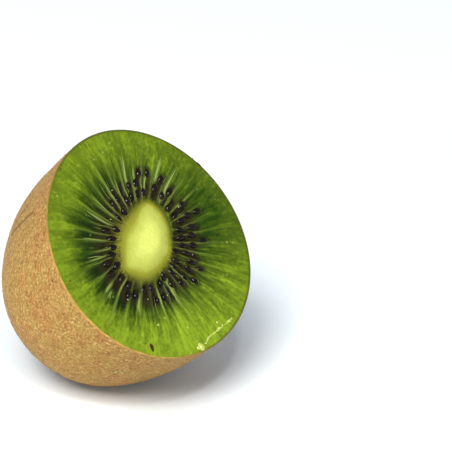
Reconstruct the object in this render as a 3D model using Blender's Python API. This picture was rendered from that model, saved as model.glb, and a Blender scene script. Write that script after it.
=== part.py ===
"""Half of a green kiwi fruit, cut across its middle and lying on its skin.

Skin, flesh, core and seeds have grown together, so the half is one solid. Its cut face looks towards -Y and
up, and it rests on a small flat spot of its skin. Lengths are in metres, +Z is up, and the origin is the
middle of the flat spot.

Everything is worked out in the fruit's own frame first: X and Y lie in the cut face, with Y running up its
slope, and Z points out of the cut face, so that the fruit's body is below zero.
"""
import math
import random

import bmesh
import bpy
import numpy as np
from mathutils import Matrix, Vector

MM = 0.001

# the half as a whole
RIM_RADIUS = 25.6 * MM
HALF_LENGTH = 36.4 * MM
BLUNTNESS = 2.95
OVALNESS = 0.025
OVAL_ANGLE = math.radians(48.0)
LOPSIDEDNESS = 0.009
LOPSIDED_ANGLE = math.radians(-34.0)
FACE_TILT = math.radians(47.0)
FLAT_SPOT_DEPTH = 0.9 * MM
FLAT_FACING = 0.9999
DENT_DEPTH = 0.22 * MM
DENTS = (
    # waves round the fruit, their turn, half waves from rim to stem end, and their share of the depth
    (3.0, 1.1, 1.0, 1.0),
    (5.0, -0.6, 2.0, 0.6),
)

# the pale core on the cut face
CORE_CENTRE = (-0.9 * MM, 0.6 * MM)
CORE_LONG = 9.8 * MM
CORE_SHORT = 5.4 * MM
CORE_ANGLE = math.radians(38.0)
CORE_SQUARENESS = 2.3
CORE_RISE = 0.55 * MM

# the seed chambers round the core, and the flesh between them and the skin
# (each reach is a share of the way from the core to the rim: where a form starts, is full, fades and ends)
CHAMBERS = 36
MOAT_DEPTH = 0.42 * MM
MOAT_REACH = (0.0, 0.12, 0.22, 0.62)
GROOVE_DEPTH = 0.17 * MM
GROOVE_REACH = (0.0, 0.10, 0.30, 0.72)
SWELL_HEIGHT = 0.30 * MM
SWELL_REACH = (0.30, 0.70, 0.72, 1.0)
KNIFE_WAVE = 0.12 * MM
KNIFE_WAVE_TURN = 0.7

# the seeds
SEED_LENGTH = 2.35 * MM
SEED_WIDTH = 1.5 * MM
SEED_THICKNESS = 1.15 * MM
SEED_SIZE_SPREAD = 0.12
SEED_ROWS = (
    # distance from the core, its spread, and the share of the chambers that hold such a seed
    (2.3 * MM, 0.8 * MM, 0.95),
    (4.4 * MM, 0.8 * MM, 0.85),
    (6.3 * MM, 0.9 * MM, 0.25),
)
SEED_TRIES = 12
SEED_STRAY = 0.35
SEED_WIDER_SIDE = math.radians(-8.0)
SEED_WIDER_BY = 0.24
SEED_LEAN = math.radians(16.0)
SEED_CLEARANCE = 1.04
SEED_SINK = 0.08 * MM
RANDOM_SEED = 27

# the scar where the stalk was
SCAR_RADIUS = 2.7 * MM
SCAR_HEIGHT = 1.3 * MM
SCAR_PROFILE = (
    # shares of its radius and of its height, from its foot inside the fruit to the hollow in its top
    (0.0, -0.95),
    (1.15, -0.95),
    (1.0, 0.35),
    (0.72, 1.0),
    (0.45, 0.7),
    (0.0, 0.6),
)
SCAR_SIDES = 14

# how finely the surface is divided
FACE_SIDES = 144
SKIN_SIDES = 72
CORE_RINGS = (0.35, 0.7, 0.9)
FLESH_RINGS = (0.0, 0.07, 0.15, 0.24, 0.34, 0.45, 0.56, 0.68, 0.8, 0.91)
SKIN_RINGS = 17
MERIDIAN_SAMPLES = 4000
SHOULDER_SHARE = 0.45
SEED_PROFILE = ((0.0, -1.0), (0.62, -0.62), (1.0, 0.0), (0.74, 0.58), (0.0, 1.0))
SEED_SIDES = 5
MERGE_DISTANCE = 0.005 * MM
SHARP_ANGLE = math.radians(40.0)

SKIN, FLESH, CORE, SEED = range(4)
FINISHES = (
    # name, colour, roughness
    ("skin", (0.36, 0.22, 0.09), 0.85),
    ("flesh", (0.20, 0.36, 0.03), 0.35),
    ("core", (0.75, 0.82, 0.28), 0.40),
    ("seed", (0.015, 0.010, 0.012), 0.30),
)


def clear_scene():
    """Remove whatever the scene holds."""
    for thing in list(bpy.data.objects):
        bpy.data.objects.remove(thing, do_unlink=True)


def make_materials():
    """One Principled material for each finish, in the order of the face indices."""
    materials = []
    for name, colour, roughness in FINISHES:
        material = bpy.data.materials.new(name)
        material.use_nodes = True
        shader = material.node_tree.nodes["Principled BSDF"]
        shader.inputs["Base Color"].default_value = (*colour, 1.0)
        shader.inputs["Roughness"].default_value = roughness
        shader.inputs["Metallic"].default_value = 0.0
        material.diffuse_color = (*colour, 1.0)
        materials.append(material)
    return materials


def smooth_step(low, high, value):
    """0 below low, 1 above high, and a soft S between them."""
    share = np.clip((value - low) / (high - low), 0.0, 1.0)
    return share * share * (3.0 - 2.0 * share)


def rise_and_fall(reach, value):
    """A plateau of 1 with soft flanks, which starts, is full, fades and ends at the four values of reach."""
    start, full, fade, end = reach
    return smooth_step(start, full, value) * (1.0 - smooth_step(fade, end, value))


def rim_radius(angle):
    """Radius of the cut face: a circle made slightly oval and slightly lopsided."""
    oval = OVALNESS * np.cos(2.0 * (angle - OVAL_ANGLE))
    lopsided = LOPSIDEDNESS * np.cos(3.0 * (angle - LOPSIDED_ANGLE))
    return RIM_RADIUS * (1.0 + oval + lopsided)


def core_radius(angle):
    """Radius of the core about its own middle: a superellipse, long along CORE_ANGLE."""
    along = np.abs(np.cos(angle - CORE_ANGLE)) / CORE_LONG
    across = np.abs(np.sin(angle - CORE_ANGLE)) / CORE_SHORT
    return (along**CORE_SQUARENESS + across**CORE_SQUARENESS) ** (-1.0 / CORE_SQUARENESS)


def core_point(angle, share):
    """Point of the cut face inside the core, share 0 at its middle and 1 at its edge."""
    radius = core_radius(angle) * share
    return CORE_CENTRE[0] + radius * np.cos(angle), CORE_CENTRE[1] + radius * np.sin(angle)


def flesh_point(angle, share):
    """Point between the core's edge, share 0, and the rim, share 1, on a straight line between the two."""
    core_x, core_y = core_point(angle, 1.0)
    radius = rim_radius(angle)
    return (
        core_x + share * (radius * np.cos(angle) - core_x),
        core_y + share * (radius * np.sin(angle) - core_y),
    )


def core_height(share):
    """The firm core stands a little proud, as a flat dome with soft shoulders."""
    return CORE_RISE * (1.0 - share**3.0)


def flesh_height(angle, share):
    """Relief of the green flesh.

    The seed chambers are a shallow moat round the core, grooved once for each chamber. Outside it the flesh
    swells softly and comes down to the skin at the rim. A slow wave from the knife runs over all of it.
    """
    ripple = 0.5 - 0.5 * np.cos(CHAMBERS * angle)
    wave = np.sin(2.0 * angle + KNIFE_WAVE_TURN) * np.sin(math.pi * share)
    return (
        SWELL_HEIGHT * rise_and_fall(SWELL_REACH, share)
        - MOAT_DEPTH * rise_and_fall(MOAT_REACH, share)
        - GROOVE_DEPTH * rise_and_fall(GROOVE_REACH, share) * ripple
        + KNIFE_WAVE * wave
    )


def meridian(count):
    """Radius and depth shares of the skin's profile at count + 1 stops.

    The profile is a quarter of a superellipse, from the rim (1, 0) to the stem end (0, 1). The stops are
    even steps of a measure that adds the way along the profile to how far it has turned, so that they lie
    closer together round the shoulder.
    """
    turn = np.linspace(0.0, math.pi / 2.0, MERIDIAN_SAMPLES)
    radius = np.cos(turn).clip(0.0) ** (2.0 / BLUNTNESS)
    depth = np.sin(turn) ** (2.0 / BLUNTNESS)
    inward, down = -np.diff(radius * RIM_RADIUS), np.diff(depth * HALF_LENGTH)
    length = np.concatenate(([0.0], np.cumsum(np.hypot(inward, down))))
    heading = np.interp(length, 0.5 * (length[1:] + length[:-1]), np.arctan2(inward, down))
    turned = (heading - heading[0]) / (heading[-1] - heading[0])
    measure = (1.0 - SHOULDER_SHARE) * length / length[-1] + SHOULDER_SHARE * turned
    stops = np.linspace(0.0, 1.0, count + 1)
    return np.interp(stops, measure, radius), np.interp(stops, measure, depth)


def skin_points(angle, radius_share, depth_share):
    """Points of one ring of the skin, with the shallow dents that every real fruit has."""
    dent = sum(
        share * np.sin(waves * angle + turn) * np.sin(half_waves * math.pi * depth_share)
        for waves, turn, half_waves, share in DENTS
    )
    radius = (rim_radius(angle) - DENT_DEPTH * dent) * radius_share
    depth = np.full_like(angle, -HALF_LENGTH * depth_share)
    return np.stack([radius * np.cos(angle), radius * np.sin(angle), depth], axis=-1)


def add_ring(mesh, points):
    """Add one closed ring of vertices."""
    return [mesh.verts.new(point) for point in points]


def join_rings(mesh, outer, inner, finish):
    """Bridge two rings of the same count with quads that turn from outer to inner."""
    count = len(outer)
    for index in range(count):
        after = (index + 1) % count
        face = mesh.faces.new((outer[index], outer[after], inner[after], inner[index]))
        face.material_index = finish


def join_to_half(mesh, fine, coarse, finish):
    """Bridge a ring to one with half its vertices, three triangles for each coarse edge."""
    count = len(coarse)
    for index in range(count):
        after = (index + 1) % count
        left, middle, right = fine[2 * index], fine[2 * index + 1], fine[2 * after]
        for corners in (
            (middle, left, coarse[index]),
            (middle, coarse[index], coarse[after]),
            (right, middle, coarse[after]),
        ):
            face = mesh.faces.new(corners)
            face.material_index = finish


def close_ring(mesh, ring, tip, finish):
    """Close a ring with a fan round one vertex."""
    for index, corner in enumerate(ring):
        face = mesh.faces.new((corner, ring[(index + 1) % len(ring)], tip))
        face.material_index = finish


def add_turned(mesh, profile, sides, finish):
    """Turn a profile of radius and height, which starts and ends on the axis, about Z into a closed shape."""
    turns = [2.0 * math.pi * side / sides for side in range(sides)]
    rings = [
        add_ring(mesh, [(radius * math.cos(turn), radius * math.sin(turn), height) for turn in turns])
        for radius, height in profile[1:-1]
    ]
    for lower, upper in zip(rings, rings[1:]):
        join_rings(mesh, lower, upper, finish)
    close_ring(mesh, rings[0][::-1], mesh.verts.new((0.0, 0.0, profile[0][1])), finish)
    close_ring(mesh, rings[-1], mesh.verts.new((0.0, 0.0, profile[-1][1])), finish)
    bmesh.ops.recalc_face_normals(mesh, faces=mesh.faces[:])


def add_cut_face(mesh):
    """The core and the flesh of the cut face, and the rim ring that they end at."""
    angle = np.arange(FACE_SIDES) * 2.0 * math.pi / FACE_SIDES
    x, y = flesh_point(angle, 1.0)
    rim = add_ring(mesh, np.stack([x, y, np.zeros_like(x)], axis=-1))
    outer = rim
    for share in reversed(FLESH_RINGS):
        x, y = flesh_point(angle, share)
        ring = add_ring(mesh, np.stack([x, y, flesh_height(angle, share)], axis=-1))
        join_rings(mesh, outer, ring, FLESH)
        outer = ring
    for share in reversed(CORE_RINGS):
        x, y = core_point(angle, share)
        ring = add_ring(mesh, np.stack([x, y, np.full_like(x, core_height(share))], axis=-1))
        join_rings(mesh, outer, ring, CORE)
        outer = ring
    tip = mesh.verts.new((*CORE_CENTRE, core_height(0.0)))
    close_ring(mesh, outer, tip, CORE)
    return rim


def add_skin(mesh, rim):
    """The skin, from the rim down to the stem end."""
    angle = np.arange(SKIN_SIDES) * 2.0 * math.pi / SKIN_SIDES
    radius_shares, depth_shares = meridian(SKIN_RINGS)
    outer = None
    for radius_share, depth_share in zip(radius_shares[1:-1], depth_shares[1:-1]):
        ring = add_ring(mesh, skin_points(angle, radius_share, depth_share))
        if outer is None:
            join_to_half(mesh, rim, ring, SKIN)
        else:
            join_rings(mesh, ring, outer, SKIN)
        outer = ring
    tip = mesh.verts.new((0.0, 0.0, -HALF_LENGTH))
    close_ring(mesh, outer[::-1], tip, SKIN)


def flatten_spot(mesh, up):
    """Slice off the lowest part of the skin, and return the middle of the flat that this leaves."""
    lowest = min(mesh.verts, key=lambda vertex: vertex.co.dot(up))
    level = lowest.co + up * FLAT_SPOT_DEPTH
    everything = mesh.verts[:] + mesh.edges[:] + mesh.faces[:]
    cut = bmesh.ops.bisect_plane(mesh, geom=everything, plane_co=level, plane_no=up, clear_inner=True)
    border = [item for item in cut["geom_cut"] if isinstance(item, bmesh.types.BMEdge)]
    flat = bmesh.ops.contextual_create(mesh, geom=border)["faces"][0]
    flat.material_index = SKIN
    flat.normal_update()
    if flat.normal.dot(up) > 0.0:
        flat.normal_flip()
    return flat.calc_center_median_weighted()


def make_half(name, up):
    """The half without its seeds and scar, as an object, and the middle of its flat spot."""
    mesh = bmesh.new()
    rim = add_cut_face(mesh)
    add_skin(mesh, rim)
    spot = flatten_spot(mesh, up)
    bmesh.ops.recalc_face_normals(mesh, faces=mesh.faces[:])
    data = bpy.data.meshes.new(name)
    mesh.to_mesh(data)
    mesh.free()
    half = bpy.data.objects.new(name, data)
    bpy.context.scene.collection.objects.link(half)
    return half, spot


def seed_places():
    """Where the seeds lie: a few in each chamber, in rows round the core.

    Each place is an angle round the core, a point on the cut face, the height of the flesh there, a heading
    along the chamber and a size. A seed that would touch one that is already there is skipped.
    """
    draw = random.Random(RANDOM_SEED)
    places = []
    for distance, spread, share_filled in SEED_ROWS:
        for chamber in range(CHAMBERS):
            if draw.random() > share_filled:
                continue
            for _ in range(SEED_TRIES):
                stray = draw.uniform(-SEED_STRAY, SEED_STRAY)
                angle = 2.0 * math.pi * (chamber + 0.5 + stray) / CHAMBERS
                wider = 1.0 + SEED_WIDER_BY * math.cos(angle - SEED_WIDER_SIDE)
                away = (distance + draw.uniform(-spread, spread)) * wider
                inner = Vector(flesh_point(angle, 0.0))
                chamber_line = Vector(flesh_point(angle, 1.0)) - inner
                share = away / chamber_line.length
                point = inner + share * chamber_line
                heading = math.atan2(chamber_line.y, chamber_line.x) + draw.uniform(-SEED_LEAN, SEED_LEAN)
                size = 1.0 + draw.uniform(-SEED_SIZE_SPREAD, SEED_SIZE_SPREAD)
                if not touches(point, heading, places):
                    places.append((point, float(flesh_height(angle, share)), heading, size))
                    break
    return places


def touches(point, heading, places):
    """Whether a seed at this point and heading would touch one of the places."""
    along = Vector((math.cos(heading), math.sin(heading)))
    across = Vector((-along.y, along.x))
    for other, _, _, _ in places:
        gap = other - point
        apart = math.hypot(gap.dot(along) / SEED_LENGTH, gap.dot(across) / SEED_WIDTH)
        if apart < SEED_CLEARANCE:
            return True
    return False


def make_seed(index, place, collection):
    """One drop-shaped seed, its pointed end towards the core, lying half sunk in the flesh."""
    point, height, heading, size = place
    mesh = bmesh.new()
    add_turned(mesh, SEED_PROFILE, SEED_SIDES, SEED)
    half_sizes = [size * whole / 2.0 for whole in (SEED_THICKNESS, SEED_WIDTH, SEED_LENGTH)]
    lying = Matrix.Rotation(heading, 4, "Z") @ Matrix.Rotation(math.pi / 2.0, 4, "Y")
    there = Matrix.Translation((point.x, point.y, height - SEED_SINK))
    bmesh.ops.transform(mesh, matrix=there @ lying @ Matrix.Diagonal((*half_sizes, 1.0)), verts=mesh.verts[:])
    link_piece(mesh, "seed_%02d" % index, collection)


def make_scar(collection):
    """The round, slightly tapered button where the stalk was, sunk into the stem end."""
    mesh = bmesh.new()
    profile = [(wide * SCAR_RADIUS, -HALF_LENGTH - high * SCAR_HEIGHT) for wide, high in SCAR_PROFILE]
    add_turned(mesh, profile, SCAR_SIDES, SKIN)
    link_piece(mesh, "scar", collection)


def link_piece(mesh, name, collection):
    """Turn a bmesh into an object of the collection of pieces to fuse."""
    data = bpy.data.meshes.new(name)
    mesh.to_mesh(data)
    mesh.free()
    collection.objects.link(bpy.data.objects.new(name, data))


def give_materials(thing, materials):
    """Give an object's mesh the four materials, in the order of the face indices."""
    for material in materials:
        thing.data.materials.append(material)


def fuse(half, pieces):
    """Join the collection's pieces to the half with one union, and remove them."""
    union = half.modifiers.new("fuse", "BOOLEAN")
    union.operation = "UNION"
    union.operand_type = "COLLECTION"
    union.collection = pieces
    union.solver = "EXACT"
    bpy.context.view_layer.update()
    fused = bpy.data.meshes.new_from_object(half.evaluated_get(bpy.context.evaluated_depsgraph_get()))
    half.modifiers.clear()
    half.data = fused
    for piece in list(pieces.objects):
        bpy.data.objects.remove(piece, do_unlink=True)
    bpy.data.collections.remove(pieces)


def tidy_mesh(half, up):
    """Merge points that the union left on top of each other, and shade all but the flat spot smooth."""
    mesh = bmesh.new()
    mesh.from_mesh(half.data)
    bmesh.ops.remove_doubles(mesh, verts=mesh.verts[:], dist=MERGE_DISTANCE)
    bmesh.ops.dissolve_degenerate(mesh, edges=mesh.edges[:], dist=MERGE_DISTANCE)
    bmesh.ops.triangulate(mesh, faces=mesh.faces[:])
    mesh.to_mesh(half.data)
    mesh.free()
    half.data.shade_smooth()
    half.data.set_sharp_from_angle(angle=SHARP_ANGLE)
    for polygon in half.data.polygons:
        if polygon.normal.dot(up) < -FLAT_FACING:
            polygon.use_smooth = False


def main():
    """Make the half, fuse its seeds and scar to it, and set it down on its flat spot."""
    clear_scene()
    materials = make_materials()
    turned = Matrix.Rotation(FACE_TILT, 3, "X")
    up = turned.transposed() @ Vector((0.0, 0.0, 1.0))
    half, spot = make_half("kiwi_half", up)
    pieces = bpy.data.collections.new("to_fuse")
    bpy.context.scene.collection.children.link(pieces)
    for index, place in enumerate(seed_places()):
        make_seed(index, place, pieces)
    make_scar(pieces)
    give_materials(half, materials)
    for piece in pieces.objects:
        give_materials(piece, materials)
    fuse(half, pieces)
    tidy_mesh(half, up)
    half.rotation_euler = (FACE_TILT, 0.0, 0.0)
    half.location = -(turned @ spot)


main()
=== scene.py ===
"""The looks of one half of a green kiwi fruit, cut across its middle and lying on its skin.

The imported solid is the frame. The pieces here repeat its sizes and formulas in the fruit's own frame: X and Y
lie in the cut face, with Y running up its slope, Z points out of it, and the body is below zero. Each piece
is worked out there and then moved to where the solid lies. Lengths are in metres and angles in radians,
apart from tables that say otherwise.

A point of the flesh has an angle and a share, which is 0 at the core's edge and 1 at the rim. A point of the
skin has an angle and a stop, which is 0 at the rim and 1 at the stem end.
"""
import itertools
import logging
import math
import random
from abc import ABC, abstractmethod
from dataclasses import dataclass, field
from enum import Enum
from typing import ClassVar

import bpy
import numpy as np
from mathutils import Matrix, Vector


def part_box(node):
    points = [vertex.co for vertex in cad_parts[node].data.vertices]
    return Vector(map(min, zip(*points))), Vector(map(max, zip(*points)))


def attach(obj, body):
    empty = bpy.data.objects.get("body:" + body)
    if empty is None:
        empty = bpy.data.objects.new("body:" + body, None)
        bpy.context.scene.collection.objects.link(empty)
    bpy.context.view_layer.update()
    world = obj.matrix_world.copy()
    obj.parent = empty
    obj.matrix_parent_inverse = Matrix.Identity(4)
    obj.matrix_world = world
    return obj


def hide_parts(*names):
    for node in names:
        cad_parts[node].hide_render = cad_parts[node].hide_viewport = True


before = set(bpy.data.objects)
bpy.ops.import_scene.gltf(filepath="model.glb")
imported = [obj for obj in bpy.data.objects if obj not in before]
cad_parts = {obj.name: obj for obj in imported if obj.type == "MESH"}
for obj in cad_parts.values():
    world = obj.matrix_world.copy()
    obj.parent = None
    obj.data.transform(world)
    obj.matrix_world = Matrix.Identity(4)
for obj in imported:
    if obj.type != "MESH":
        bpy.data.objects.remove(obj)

MM = 0.001
TURN = 2.0 * math.pi
TINY = 1e-12
PICTURE_SIDE = 452

Array = np.ndarray
Colour = tuple[float, float, float]
Stops = tuple[tuple[float, float], ...]
Reach = tuple[float, float, float, float]
Socket = bpy.types.NodeSocket

log = logging.getLogger("kiwi_half")


class Slot(Enum):
    """The record's material slots."""

    FLESH = "flesh"
    CORE = "core"
    SKIN = "skin"
    SEED = "seed"
    JUICE = "juice"


class Shading(Enum):
    """How the faces of a piece are shaded."""

    FLAT = False
    SMOOTH = True


def painted(red: int, green: int, blue: int) -> Colour:
    """Turn a colour as a painter's chart gives it, 0 to 255, into the linear light that shaders work in."""
    shares = (value / 255.0 for value in (red, green, blue))
    return tuple(((share + 0.055) / 1.055) ** 2.4 if share > 0.04045 else share / 12.92 for share in shares)


def soft_step(low: float | Array, high: float | Array, value: Array) -> Array:
    """0 below low, 1 above high, and a soft S between them."""
    share = np.clip((value - low) / (high - low), 0.0, 1.0)
    return share * share * (3.0 - 2.0 * share)


def plateau(reach: Reach, value: Array) -> Array:
    """A plateau of 1 with soft flanks, which starts, is full, fades and ends at the four values of reach."""
    start, full, fade, end = reach
    return soft_step(start, full, value) * (1.0 - soft_step(fade, end, value))


def around(stops: Stops, angle: Array, soften: int = 24) -> Array:
    """A value that changes smoothly round the full turn.

    Args:
        stops: pairs of degrees and value, in rising order, joined by straight lines.
        angle: where the value is wanted.
        soften: degrees over which the corners at the stops are averaged.

    Returns:
        The value at each angle.
    """
    degrees, value = np.array(stops).T
    fine = np.arange(-360.0, 720.0)
    window = np.hanning(soften + 2)
    smooth = np.convolve(np.interp(fine, degrees, value, period=360.0), window / window.sum(), mode="same")
    return np.interp(np.degrees(angle) % 360.0, fine, smooth)


def unit(vectors: Array) -> Array:
    """Vectors along the last axis, each made one long."""
    return vectors / np.maximum(np.linalg.norm(vectors, axis=-1, keepdims=True), TINY)


def ring_angles(columns: int) -> Array:
    """Even angles round a ring, anticlockwise, without the last one that would repeat the first."""
    return np.arange(columns) * TURN / columns


def ring_grid(columns: int, rows: Array) -> tuple[Array, Array]:
    """The angle and the row's value at every point of a stack of rings."""
    return np.meshgrid(ring_angles(columns), rows)


def grid_normals(rings: Array) -> Array:
    """Unit normals of closed rings that run down the outside of a body, from differences along both ways."""
    along = np.roll(rings, -1, axis=1) - np.roll(rings, 1, axis=1)
    return unit(np.cross(np.gradient(rings, axis=0), along))


def headed(points: Array, heading: Array) -> Array:
    """Turn the points of each copy about Z, so that its own X follows its heading.

    Args:
        points: copies along the first axis and three numbers along the last.
        heading: one angle for each copy.

    Returns:
        The turned points.
    """
    x, y, z = np.moveaxis(points, -1, 0)
    cosine, sine = np.cos(heading)[:, None], np.sin(heading)[:, None]
    return np.stack([x * cosine - y * sine, x * sine + y * cosine, z], axis=-1)


class Grain:
    """Seeded smooth noise, the same on every run.

    Each corner of a lattice of cubes holds a random value from -1 to 1. A point takes the mean of its cube's
    eight corners, weighted along each axis with a soft S, so the noise has no creases.
    """

    def __init__(self, seed: int, cells: int = 4096) -> None:
        """Fill the lattice.

        Args:
            seed: number that settles the pattern.
            cells: how many random values the lattice repeats.
        """
        draw = np.random.RandomState(seed)
        self.order = draw.permutation(cells)
        self.value = draw.uniform(-1.0, 1.0, cells)

    def at(self, points: Array, cell: float) -> Array:
        """Noise at points.

        Args:
            points: points in space, three numbers along the last axis.
            cell: side of the lattice's cubes, in the points' own unit.

        Returns:
            A number from -1 to 1 for each point.
        """
        scaled = np.asarray(points) / cell
        base = np.floor(scaled).astype(int)
        inside = scaled - base
        blend = inside * inside * (3.0 - 2.0 * inside)
        total = np.zeros(scaled.shape[:-1])
        for corner in itertools.product((0, 1), repeat=3):
            weight = np.prod(np.where(corner, blend, 1.0 - blend), axis=-1)
            total += weight * self.value[self._cell_index(base + corner)]
        return total

    def layered(self, points: Array, cell: float, layers: int) -> Array:
        """Noise with finer and fainter layers on top, each half as coarse and half as strong as the last."""
        total = sum(self.at(points, cell / 2**layer) / 2**layer for layer in range(layers))
        return total / (2.0 - 2.0 ** (1 - layers))

    def _cell_index(self, corner: Array) -> Array:
        """Scramble the three whole numbers of a lattice corner into the place of its random value.

        Args:
            corner: the corners, three whole numbers along the last axis.

        Returns:
            A place for each corner.
        """
        place = 0
        for number in np.moveaxis(corner, -1, 0):
            place = self.order[(place + number) % len(self.order)]
        return place


@dataclass
class FruitForm:
    """The sizes of the half, the formulas that its pieces share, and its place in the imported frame."""

    node: str = "kiwi_half"
    rim: float = 25.6 * MM
    length: float = 36.4 * MM
    bluntness: float = 2.95
    ovalness: float = 0.025
    oval_angle: float = math.radians(48.0)
    lopsidedness: float = 0.009
    lopsided_angle: float = math.radians(-34.0)
    tilt: float = math.radians(47.0)
    dent_depth: float = 0.22 * MM
    dents: tuple[Reach, ...] = (
        # waves round the fruit, their turn, half waves down it, and share of the depth
        (3.0, 1.1, 1.0, 1.0), (5.0, -0.6, 2.0, 0.6),
    )
    core_middle: tuple[float, float] = (-0.9 * MM, 0.6 * MM)
    core_long: float = 9.8 * MM
    core_short: float = 5.4 * MM
    core_angle: float = math.radians(38.0)
    core_squareness: float = 2.3
    core_rise: float = 0.55 * MM
    core_level: float = 0.45
    core_depth: float = 5.0 * MM
    chambers: int = 36
    moat_depth: float = 0.42 * MM
    moat_reach: Reach = (0.0, 0.12, 0.22, 0.62)
    groove_depth: float = 0.17 * MM
    groove_reach: Reach = (0.0, 0.10, 0.30, 0.72)
    swell_height: float = 0.30 * MM
    swell_reach: Reach = (0.30, 0.70, 0.72, 1.0)
    knife_wave: float = 0.12 * MM
    knife_wave_turn: float = 0.7
    shoulder_share: float = 0.45
    meridian_samples: int = 4000
    skin_thickness: float = 0.26 * MM
    last_stop: float = 0.99
    last_inner_stop: float = 0.985
    outline_columns: int = 360
    outline_rows: int = 181
    place: Array = field(init=False)

    def __post_init__(self) -> None:
        """Find where the fruit's own frame lies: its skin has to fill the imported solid's box."""
        low, high = (np.array(corner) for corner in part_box(self.node))
        skin = self.skin_points(*ring_grid(self.outline_columns, np.linspace(0.0, 1.0, self.outline_rows)))
        outline = self._tilted(skin).reshape(-1, 3)
        own_low, own_high = outline.min(axis=0), outline.max(axis=0)
        middle = (low + high - own_low - own_high) / 2.0
        self.place = np.array([middle[0], middle[1], high[2] - own_high[2]])

    def _tilted(self, points: Array) -> Array:
        """Tilt points of the fruit's own frame about X, as the fruit lies."""
        return points @ np.array(Matrix.Rotation(self.tilt, 3, "X")).T

    def to_frame(self, points: Array) -> Array:
        """Move points of the fruit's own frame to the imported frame, none of them below the ground.

        Args:
            points: the points, three numbers along the last axis.

        Returns:
            The moved points.
        """
        placed = self._tilted(points) + self.place
        placed[..., 2] = np.maximum(placed[..., 2], 0.0)
        return placed

    def rim_radius(self, angle: Array) -> Array:
        """Radius of the cut face: a circle made slightly oval and slightly lopsided."""
        oval = self.ovalness * np.cos(2.0 * (angle - self.oval_angle))
        return self.rim * (1.0 + oval + self.lopsidedness * np.cos(3.0 * (angle - self.lopsided_angle)))

    def core_radius(self, angle: Array) -> Array:
        """Radius of the core about its own middle: a superellipse, long along the core's angle.

        Args:
            angle: angles about the core's middle.

        Returns:
            The radius at each angle.
        """
        along = np.abs(np.cos(angle - self.core_angle)) / self.core_long
        across = np.abs(np.sin(angle - self.core_angle)) / self.core_short
        return (along**self.core_squareness + across**self.core_squareness) ** (-1.0 / self.core_squareness)

    def core_point(self, angle: Array, share: Array) -> tuple[Array, Array]:
        """Point of the cut face inside the core, share 0 at its middle and 1 at its edge."""
        radius = self.core_radius(angle) * share
        return self.core_middle[0] + radius * np.cos(angle), self.core_middle[1] + radius * np.sin(angle)

    def flesh_point(self, angle: Array, share: Array) -> tuple[Array, Array]:
        """Point on a straight line from the core's edge to the rim.

        Args:
            angle: angles of the points.
            share: their shares.

        Returns:
            Their first and second coordinates.
        """
        radius = self.rim_radius(angle)
        ends = zip(self.core_point(angle, 1.0), (radius * np.cos(angle), radius * np.sin(angle)))
        return tuple(inner + share * (outer - inner) for inner, outer in ends)

    def core_height(self, share: Array) -> Array:
        """The firm core stands a little proud, as a flat dome that runs out level at its edge."""
        return self.core_rise * (1.0 - soft_step(self.core_level, 1.0, share))

    def flesh_height(self, angle: Array, share: Array) -> Array:
        """Main relief of the green flesh.

        A shallow moat round the core, grooved once for each seed chamber, a soft swelling outside it that
        comes down to the skin at the rim, and a slow wave from the knife over all of it.

        Args:
            angle: angles of the points.
            share: their shares.

        Returns:
            Their heights over the cut.
        """
        ripple = 0.5 - 0.5 * np.cos(self.chambers * angle)
        wave = np.sin(2.0 * angle + self.knife_wave_turn) * np.sin(math.pi * share)
        return (
            self.swell_height * plateau(self.swell_reach, share)
            - self.moat_depth * plateau(self.moat_reach, share)
            - self.groove_depth * plateau(self.groove_reach, share) * ripple
            + self.knife_wave * wave
        )

    def meridian(self, stop: Array) -> tuple[Array, Array]:
        """Radius and depth shares of the skin's profile, a quarter of a superellipse.

        Args:
            stop: shares of a measure that adds the way along the profile to how far it has turned, so that
                even stops lie closer together round the shoulder.

        Returns:
            The radius share, from 1 at the rim to 0, and the depth share, from 0 at the rim to 1.
        """
        turn = np.linspace(0.0, math.pi / 2.0, self.meridian_samples)
        radius = np.cos(turn).clip(0.0) ** (2.0 / self.bluntness)
        depth = np.sin(turn) ** (2.0 / self.bluntness)
        inward, down = -np.diff(radius * self.rim), np.diff(depth * self.length)
        length = np.concatenate(([0.0], np.cumsum(np.hypot(inward, down))))
        heading = np.interp(length, 0.5 * (length[1:] + length[:-1]), np.arctan2(inward, down))
        turned = (heading - heading[0]) / (heading[-1] - heading[0])
        measure = (1.0 - self.shoulder_share) * length / length[-1] + self.shoulder_share * turned
        return np.interp(stop, measure, radius), np.interp(stop, measure, depth)

    def skin_points(self, angle: Array, stop: Array) -> Array:
        """Points of the skin's outside: the profile turned round the axis, with the dents of a real fruit.

        Args:
            angle: angles of the points.
            stop: their stops.

        Returns:
            The points, three numbers along the last axis.
        """
        radius_share, depth_share = self.meridian(stop)
        dent = sum(
            share * np.sin(waves * angle + turn) * np.sin(half_waves * math.pi * depth_share)
            for waves, turn, half_waves, share in self.dents
        )
        radius = (self.rim_radius(angle) - self.dent_depth * dent) * radius_share
        return np.stack([radius * np.cos(angle), radius * np.sin(angle), -self.length * depth_share], axis=-1)

    def under_skin(self, columns: int, rows: int, depth: float) -> Array:
        """Rings under the skin, from the rim down: its outside, moved in along its normals by the depth."""
        outside = self.skin_points(*ring_grid(columns, np.linspace(0.0, self.last_inner_stop, rows)))
        return outside - grid_normals(outside) * depth

    def core_bowl(self, columns: int, rows: int) -> Array:
        """Rings of the core's round bottom, from just under its edge down.

        The radius is the cosine and the depth the sine of a quarter turn.

        Args:
            columns: points in a ring.
            rows: number of rings.

        Returns:
            The rings.
        """
        angle, turn = ring_grid(columns, np.linspace(0.0, math.pi / 2.0, rows + 2)[1:-1])
        return np.stack([*self.core_point(angle, np.cos(turn)), -self.core_depth * np.sin(turn)], axis=-1)


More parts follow.
